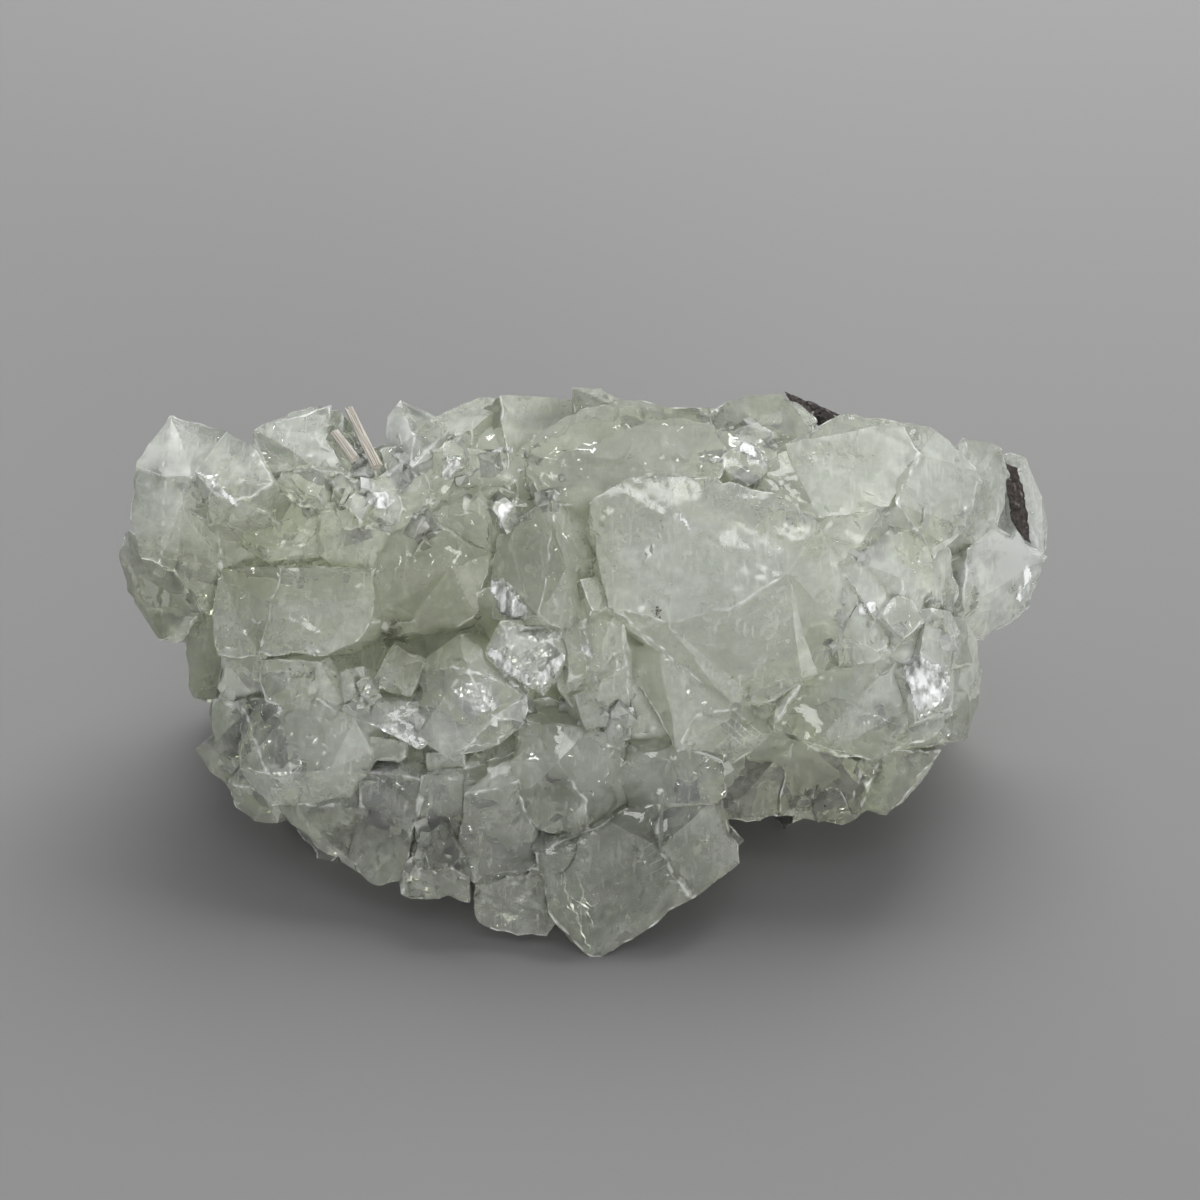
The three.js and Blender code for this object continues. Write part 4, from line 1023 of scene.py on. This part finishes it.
# Where small crystals crowd between the large ones: across, up, reach and share.
CROWDS = [
    (-15, 14, 4.5, 1), (-4, 15, 4, 0.8), (23, 5, 5, 0.7), (-14, -4, 4, 0.5), (2, -1, 4, 0.6),
    (-11, -13, 3.5, 1), (14, 17, 3, 0.8), (-26, 13, 4, 0.4), (-27, -6, 4, 0.6), (12, -6, 3, 0.4),
    (27, -3, 4, 0.5), (-20, -11, 4, 0.6),
]


# The share elsewhere on the face, and on the back, which starts that many millimetres behind it.
CROWD_USUAL = 0.05
CROWD_BEHIND = 0.15
CROWD_BACK = -6


def crowding(face):
    """How crowded with small crystals the creases are at each place."""
    share = np.full(len(face), CROWD_USUAL)
    for across, up, reach, most in CROWDS:
        share = np.maximum(share, most * np.exp(-away_from(face, across, up, reach)))
    return np.where(face[:, 2] < CROWD_BACK, CROWD_BEHIND, share)


def build_small_crystals(node, glass):
    """Small whole crystals grown in the creases between the large ones."""
    points, triangles, facet = facets_of(node)
    _, _, creases = sharp_edge_points(points, triangles, facet, 0.4 * MM)
    tree = BVHTree.FromPolygons(points.tolist(), triangles.tolist())
    random = np.random.default_rng(303)
    creases = creases[creases[:, 2] > 1.2 * MM]
    kept = creases[random.random(len(creases)) < crowding(to_face(creases)) * 0.15]
    pile = Pile()
    for place in kept:
        place = Vector(place) + Vector(random.normal(0, 0.35, 3)) * MM
        near, normal, _, _ = tree.find_nearest(place)
        width = few_large(random, 0.4, 0.9)
        axis = (normal + Vector(random.normal(0, 0.5, 3))).normalized()
        at = near + axis * width * random.uniform(-0.1, 0.15)
        spin, bite = random.random() * 3, random.random() ** 2 * 0.8
        made, faces = small_crystal(at, axis, spin, width, width * 1.6, bite)
        if min(p.z for p in made) >= 0.2 * MM:
            pile.add(made, faces)
    obj = pile.build("small_crystals", glass)
    count = len(pile.points)
    set_regions(obj, pile.points)
    obj.data.attributes["milky"].data.foreach_set("value", np.full(count, 0.9, np.float32))
    set_values(obj, "edge", np.full(count, 0.25))
    set_values(obj, "facet", random.random(len(pile.triangles)), "FACE")


# ------------------------------------------------------------------ regions of the display face

# What parts of the display face are like: middle across and up in millimetres, reach, how milky
# and how olive the crystals are there, and how pale they are inside. Olive and pale are partly the
# crystals' own tint and partly painted shade: more olive and less pale darken the recesses, the top
# facets, the lower front and the toe.
REGIONS = [
    (26.4, -0.8, 1.8, 0.9, 0, 1), (-33, 14, 5, 0.8, 0, 0.9), (-26, 15, 3, 0.8, 0, 0.85),
    (-21, 18, 5, 0.5, 0, 0.55), (-14, 17, 4, 0.4, 0, 0.65), (-16, 13, 4, 0.4, 0, 0.95),
    (-26, 11, 4, 0, 0.9, 0.55), (-20, 11, 4, 0, 1, 0.6), (-30, 8, 3, 0.1, 0.7, 0.65),
    (-35, 6, 4, 0, 0.6, 0.6), (-21, 5, 5, 0.3, 0.2, 0.6), (-12, 7, 5, 0.1, 1, 0.45),
    (-11, 2.5, 3.5, 0, 1, 0.15), (-3, 9, 4, 0, 0.4, 0.35), (-5.5, 5.5, 1.6, 0.1, 0.1, 1),
    (-8, -1.5, 4, 0.3, 0, 0.95), (-13, -4.5, 3.5, 0.8, 0, 0.7), (-20, -5, 5, 0.3, 0.2, 0.9),
    (0, -8, 4, 0.4, 0.2, 0.3), (3, -16, 5.5, 0.1, 0.3, -1), (7.5, -8, 3, 0.9, 0, 0.4),
    (10, 10, 8, 0.35, 0, 0.6), (12, 1, 5, 0.3, 0.1, 0.55), (4, 18, 6, 0, 0.3, 0.2),
    (14, 18, 5, 0.2, 0.1, 0.4), (10, -3, 4, 0.2, 0.3, 0.75), (18, -9, 6, 0, 0.9, 0.3),
    (35, 8, 5, 1.4, 0, 1), (28, 14, 4, 0.8, 0, 0.5), (24, 6, 4, 0.8, 0, 1),
    (26.5, -1, 3, 0.9, 0, 1), (20, -3, 4, 0.4, 0, 0.9), (-20, -12, 4, 0.1, 0.5, 0.5),
    (-9, -14, 5, 0.1, 0.4, 0.15),
]
# The same three where no region reaches, and their weight; how fast the regions fade away from
# their middles, and how many millimetres behind the face they end.
USUAL = (0.25, 0.35, 0.65)
USUAL_WEIGHT = 0.3
REGION_FADE = 1.2
REGION_BACK = -8
TRAITS = ("milky", "olive", "pale")


def set_regions(obj, points):
    """Stores each trait on the points of a mesh, by the regions that they lie in."""
    face = to_face(np.asarray(points))
    total = np.full((len(face), len(TRAITS)), USUAL) * USUAL_WEIGHT
    weight = np.full(len(face), USUAL_WEIGHT)
    for across, up, reach, *values in REGIONS:
        fade = away_from(face, across, up, reach) * REGION_FADE
        w = np.exp(-fade) * (face[:, 2] > REGION_BACK)
        total += w[:, None] * np.array(values)
        weight += w
    for trait, values in zip(TRAITS, (total / weight[:, None]).T):
        set_values(obj, trait, values)


# ------------------------------------------------------------------ materials

# Each as its specks' noise, its darkest and lightest colour, its roughness and its metallic share.
VEIL_LOOK = ((900, 3, 0.6), (0.86, 0.88, 0.84), (0.97, 0.98, 0.97), 0.25, 0.35)
CRACK_AND_GLINT_LOOK = ((2000, 3, 0.6), (0.88, 0.90, 0.87), (0.99, 0.99, 0.98), 0.2, 0.3)
# The painted shade lines: dark olive-grey.
SHADE_LINE_LOOK = ((2000, 2, 0.6), (0.06, 0.06, 0.045), (0.20, 0.20, 0.165), 0.4)


def new_material(name):
    """A new material, the helper for its tree, and its shader."""
    material = bpy.data.materials.new(name)
    material.use_nodes = True
    return material, Maths(material.node_tree), material.node_tree.nodes["Principled BSDF"]


class Maths:
    """Short ways to add the usual nodes to a tree."""

    def __init__(self, tree):
        self.tree = tree

    def put(self, node, name, value):
        """Links a node's input to a socket, or sets it."""
        if isinstance(value, bpy.types.NodeSocket):
            self.tree.links.new(value, node.inputs[name])
        else:
            node.inputs[name].default_value = value

    def attribute(self, name):
        node = self.tree.nodes.new("ShaderNodeAttribute")
        node.attribute_name = name
        return node.outputs["Fac"]

    def do(self, operation, a, b=0.0, clamp=False):
        node = self.tree.nodes.new("ShaderNodeMath")
        node.operation = operation
        node.use_clamp = clamp
        self.put(node, 0, a)
        self.put(node, 1, b)
        return node.outputs[0]

    def times(self, a, b):
        return self.do("MULTIPLY", a, b)

    def plus(self, a, b, clamp=False):
        return self.do("ADD", a, b, clamp)

    def noise(self, scale, detail, rough, stretch=None):
        """Noise in the object's space, of that scale per metre, or scaled by its own axes."""
        place = self.tree.nodes.new("ShaderNodeTexCoord").outputs["Object"]
        if stretch:
            mapping = self.tree.nodes.new("ShaderNodeMapping")
            self.put(mapping, "Scale", stretch)
            self.put(mapping, "Vector", place)
            place = mapping.outputs[0]
        node = self.tree.nodes.new("ShaderNodeTexNoise")
        self.put(node, "Vector", place)
        for name, value in (("Scale", scale), ("Detail", detail), ("Roughness", rough)):
            self.put(node, name, value)
        return node.outputs["Fac"]

    def ramp(self, value, low, high, to_low=0.0, to_high=1.0):
        node = self.tree.nodes.new("ShaderNodeMapRange")
        for i, part in enumerate((value, low, high, to_low, to_high)):
            self.put(node, i, part)
        return node.outputs[0]

    def mix(self, share, a, b):
        """One colour turning into another; each is a socket or three numbers."""
        node = self.tree.nodes.new("ShaderNodeMix")
        node.data_type = "RGBA"
        self.put(node, "Factor", share)
        colours = [i for i, socket in enumerate(node.inputs) if socket.type == "RGBA"]
        for i, value in zip(colours, (a, b)):
            self.put(node, i, value if isinstance(value, bpy.types.NodeSocket) else (*value, 1))
        return [o for o in node.outputs if o.type == "RGBA"][0]

    def bump(self, height, strength, distance):
        node = self.tree.nodes.new("ShaderNodeBump")
        for name, value in zip(("Height", "Strength", "Distance"), (height, strength, distance)):
            self.put(node, name, value)
        return node.outputs[0]


def crystal_material():
    """Clear glass with hazes, pale rims that are partly worn edges and partly a painted highlight, and
    painted shade in the creases.
    """
    material, m, bsdf = new_material("clear_crystal")
    edge, crease, facet = map(m.attribute, ("edge", "crease", "facet"))
    milky, olive, pale = map(m.attribute, TRAITS)
    broken = m.ramp(m.noise(1100, 1, 0.6), 0.4, 0.6)
    here_and_there = m.ramp(m.noise(180, 0, 0.5), 0.32, 0.48, 0.15, 1.0)
    # The pale rim: worn, chipped edges that are also whitened as a painted highlight.
    pale_rim_and_highlight = m.times(m.times(m.ramp(edge, 0.72, 0.95), broken), here_and_there)
    clouds = m.ramp(m.noise(260, 3, 0.6), 0.35, 0.7)
    wisps = m.ramp(m.noise(1, 3, 0.7, (900, 500, 1500)), 0.46, 0.72)
    streaks = m.ramp(m.noise(1, 1, 0.6, (2600, 420, 700)), 0.55, 0.75)
    haze = m.times(m.plus(milky, 0.12), m.plus(0.2, m.times(clouds, 0.6)))
    haze = m.plus(haze, m.times(facet, 0.45))
    haze = m.plus(haze, m.times(m.do("MAXIMUM", wisps, streaks), 0.3))
    haze = m.plus(haze, pale_rim_and_highlight, clamp=True)
    # Olive and pale are partly the crystals' tint and partly painted shade in the recesses, on the top
    # facets, the lower front and the toe.
    plain = m.mix(pale, (0.52, 0.545, 0.50), (0.925, 0.945, 0.935))
    colour = m.mix(olive, plain, m.mix(pale, (0.47, 0.49, 0.38), (0.87, 0.89, 0.75)))
    # Painted shade: the colour darkens towards the concave creases.
    colour = m.mix(m.ramp(crease, 0.68, 1.0, 0.0, 0.5), colour, (0.35, 0.37, 0.29))
    # Base colour whitened along the rims: partly wear, partly a painted highlight.
    m.put(bsdf, "Base Color", m.mix(m.times(pale_rim_and_highlight, 0.9), colour, (0.97, 0.98, 0.96)))
    m.put(bsdf, "Transmission Weight", m.ramp(haze, 0, 1, 0.95, 0.5))
    rough = m.plus(0.02, m.times(m.do("POWER", facet, 3.0), 0.2))
    m.put(bsdf, "Roughness", m.plus(rough, m.times(pale_rim_and_highlight, 0.25)))
    bsdf.inputs["IOR"].default_value = REFRACTION
    m.put(bsdf, "Normal", m.bump(m.noise(1, 2, 0.6, (1100, 1100, 2200)), 0.2, 0.00005))
    absorb = m.tree.nodes.new("ShaderNodeVolumeAbsorption")
    absorb.inputs["Color"].default_value = (0.84, 0.875, 0.67, 1)
    absorb.inputs["Density"].default_value = 75
    m.put(m.tree.nodes["Material Output"], "Volume", absorb.outputs[0])
    return material


def milky_material():
    """The milky body: light scatters a little way into it."""
    material, m, bsdf = new_material("milky_zones")
    clouds = m.ramp(m.noise(300, 5, 0.6), 0.3, 0.7, -0.15, 0.15)
    pale = m.plus(m.attribute("pale"), clouds, clamp=True)
    # Painted shade as well as milkiness: a low pale darkens the body on the toe, the lower front and
    # the top facets.
    m.put(bsdf, "Base Color", m.mix(pale, (0.20, 0.21, 0.15), (0.94, 0.96, 0.915)))
    m.put(bsdf, "Roughness", 0.5)
    bsdf.inputs["Specular IOR Level"].default_value = 0.1
    bsdf.subsurface_method = "BURLEY"
    bsdf.inputs["Subsurface Weight"].default_value = 1.0
    bsdf.inputs["Subsurface Radius"].default_value = (1.0, 1.0, 0.85)
    bsdf.inputs["Subsurface Scale"].default_value = 0.03
    m.put(bsdf, "Normal", m.bump(m.noise(900, 4, 0.7), 0.4, 0.0002))
    return material


def speckled_material(name, grain, dark, light, roughness, metallic=0.0):
    """A plain material whose colour varies in fine specks: grain holds their noise."""
    material, m, bsdf = new_material(name)
    m.put(bsdf, "Base Color", m.mix(m.noise(*grain), dark, light))
    m.put(bsdf, "Roughness", roughness)
    m.put(bsdf, "Metallic", metallic)
    return material


def flash_material(name):
    """Old cracks, whose skins mirror the light inside the crystals."""
    material, m, bsdf = new_material(name)
    crinkles = m.ramp(m.noise(1, 2, 0.5, (1500, 900, 600)), 0.34, 0.62)
    m.put(bsdf, "Base Color", m.mix(crinkles, (0.56, 0.58, 0.54), (0.99, 0.99, 0.98)))
    m.put(bsdf, "Roughness", m.ramp(m.noise(700, 2, 0.5), 0.3, 0.7, 0.10, 0.30))
    m.put(bsdf, "Metallic", 0.7)
    m.put(bsdf, "Normal", m.bump(crinkles, 0.5, 0.00006))
    return material


def frost_and_glint_material():
    """Splintered white faces: bright slivers with greyer ones between, partly frost and partly a
    painted highlight.
    """
    material, m, bsdf = new_material("frost_and_glint_faces")
    slivers = m.ramp(m.noise(1, 2, 0.5, (1900, 1200, 700)), 0.34, 0.60)
    m.put(bsdf, "Base Color", m.mix(slivers, (0.62, 0.64, 0.60), (0.98, 0.99, 0.98)))
    m.put(bsdf, "Transmission Weight", m.ramp(slivers, 0, 1, 0.6, 0.05))
    m.put(bsdf, "Roughness", 0.15)
    m.put(bsdf, "Normal", m.bump(slivers, 0.6, 0.0001))
    return material


def basalt_material():
    material, m, bsdf = new_material("basalt")
    grain = m.ramp(m.noise(2600, 5, 0.7), 0.35, 0.7)
    pale = m.ramp(m.noise(1, 4, 0.6, (1800, 1800, 500)), 0.60, 0.70)
    colour = m.mix(grain, (0.022, 0.018, 0.016), (0.085, 0.072, 0.066))
    m.put(bsdf, "Base Color", m.mix(m.times(pale, 0.8), colour, (0.30, 0.28, 0.27)))
    m.put(bsdf, "Roughness", m.ramp(grain, 0, 1, 0.8, 0.5))
    m.put(bsdf, "Normal", m.bump(m.noise(3500, 5, 0.7), 0.7, 0.00012))
    return material


def stilbite_material():
    material, m, bsdf = new_material("stilbite")
    worn = m.ramp(m.noise(1400, 4, 0.6), 0.35, 0.7)
    colour = m.mix(m.attribute("rib"), (0.46, 0.41, 0.34), (0.72, 0.67, 0.60))
    m.put(bsdf, "Base Color", m.mix(m.times(worn, 0.6), colour, (0.62, 0.61, 0.56)))
    m.put(bsdf, "Roughness", m.ramp(worn, 0, 1, 0.35, 0.6))
    m.put(bsdf, "Transmission Weight", 0.25)
    bsdf.inputs["Specular IOR Level"].default_value = 0.4
    m.put(bsdf, "Normal", m.bump(m.noise(5000, 3, 0.6), 0.3, 0.00003))
    return material


def grime_material():
    material, m, bsdf = new_material("grime")
    m.put(bsdf, "Base Color", m.mix(m.noise(1500, 3, 0.6), (0.012, 0.010, 0.008), (0.10, 0.075, 0.045)))
    m.put(bsdf, "Roughness", 0.8)
    m.put(bsdf, "Normal", m.bump(m.noise(6000, 2, 0.5), 0.4, 0.00003))
    return material


# ------------------------------------------------------------------ floor, light, camera

# Towards the sky's brightest part, and its strength away from there and in it.
SKY_BRIGHT = (0.0, 0.35, 0.94)
SKY_DIM = 0.0
SKY_STRONG = 0.6

# Small lights round the cluster that only glossy skins mirror.
GLINTS = 9
GLINT_SIZE = (0.022, 0.022)
GLINT_POWER = 0.03

# What the camera looks at, across and up the display face in millimetres, and from how far.
LOOKED_AT = (1.6, 5.66)
CAMERA_DISTANCE = 188.6 * MM


def build_floor():
    bpy.ops.mesh.primitive_plane_add(size=30, location=(0, 0, 0))
    floor = bpy.context.object
    floor.name = "floor"
    material, m, bsdf = new_material("floor")
    m.put(bsdf, "Base Color", (0.222, 0.222, 0.218, 1))
    m.put(bsdf, "Roughness", 0.7)
    floor.data.materials.append(material)


def build_world():
    """A soft studio sky: brightest above and behind, dim low in front."""
    world = bpy.data.worlds.new("sky")
    bpy.context.scene.world = world
    world.use_nodes = True
    m = Maths(world.node_tree)
    lean = m.tree.nodes.new("ShaderNodeVectorMath")
    lean.operation = "DOT_PRODUCT"
    m.put(lean, 0, m.tree.nodes.new("ShaderNodeTexCoord").outputs["Generated"])
    m.put(lean, 1, SKY_BRIGHT)
    background = m.tree.nodes["Background"]
    m.put(background, "Color", (0.96, 0.975, 1.0, 1))
    m.put(background, "Strength", m.ramp(lean.outputs["Value"], -0.2, 1.0, SKY_DIM, SKY_STRONG))


def add_area(name, place, size, power, sparkle=False, spread=180):
    """A soft card over the cluster that lights dull surfaces, or one that only glossy skins mirror."""
    data = bpy.data.lights.new(name, "AREA")
    data.shape = "RECTANGLE"
    data.size, data.size_y = size
    data.energy = power
    data.spread = math.radians(spread)
    light = bpy.data.objects.new(name, data)
    light.visible_glossy = sparkle
    light.visible_diffuse = not sparkle
    light.location = place
    towards = Vector((0, 0, 0.01)) - Vector(place)
    light.rotation_euler = towards.to_track_quat("-Z", "Y").to_euler()
    bpy.context.scene.collection.objects.link(light)


def build_lights():
    add_area("window", (0.08, 0.40, 0.42), (0.5, 0.3), 4.5)
    add_area("front_card", (0.22, -0.58, 0.10), (0.8, 0.16), 0.62, spread=50)
    add_area("flash_card", (0.0, -0.05, 0.6), (0.2, 0.15), 0.55, sparkle=True)
    for i in range(GLINTS):
        turn = i / GLINTS * 2 * math.pi
        above = 0.45 + 0.08 * math.sin(turn * 3)
        place = (0.4 * math.sin(turn), -0.1 + 0.35 * math.cos(turn), above)
        add_area(f"glint_{i}", place, GLINT_SIZE, GLINT_POWER, sparkle=True)


def build_camera():
    data = bpy.data.cameras.new("camera")
    data.lens = 70
    data.sensor_width = 36
    data.clip_start = 0.005
    camera = bpy.data.objects.new("camera", data)
    camera.location = to_row(*LOOKED_AT, 0) + OUT * CAMERA_DISTANCE
    camera.rotation_euler = (-OUT).to_track_quat("-Z", "Y").to_euler()
    bpy.context.scene.collection.objects.link(camera)
    bpy.context.scene.camera = camera


cluster_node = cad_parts["crystal_cluster"]
glass = crystal_material()
cluster = build_cluster(cluster_node, glass)
build_small_crystals(cluster_node, glass)
build_core(cluster_node)
build_veils(cluster_node)
surface = BVHTree.FromObject(cluster, bpy.context.evaluated_depsgraph_get())
build_flashes(surface)
build_crack_sheets(surface)
build_frost_and_glint_faces(surface)
build_strokes(surface)
build_painted_shade_lines(surface)
build_grime(surface)
for name, seed in (("basalt_chip_top", 51), ("basalt_chip_right", 55)):
    build_basalt(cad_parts[name], seed)
for name, seed in (("stilbite_blade_long", 61), ("stilbite_blade_short", 62)):
    build_lath(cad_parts[name], seed)
build_floor()
build_world()
build_lights()
build_camera()
scene = bpy.context.scene
scene.view_settings.view_transform = "Standard"
scene.cycles.transparent_max_bounces = 16
scene.cycles.max_bounces = 8
scene.cycles.diffuse_bounces = 3
scene.cycles.transmission_bounces = 8
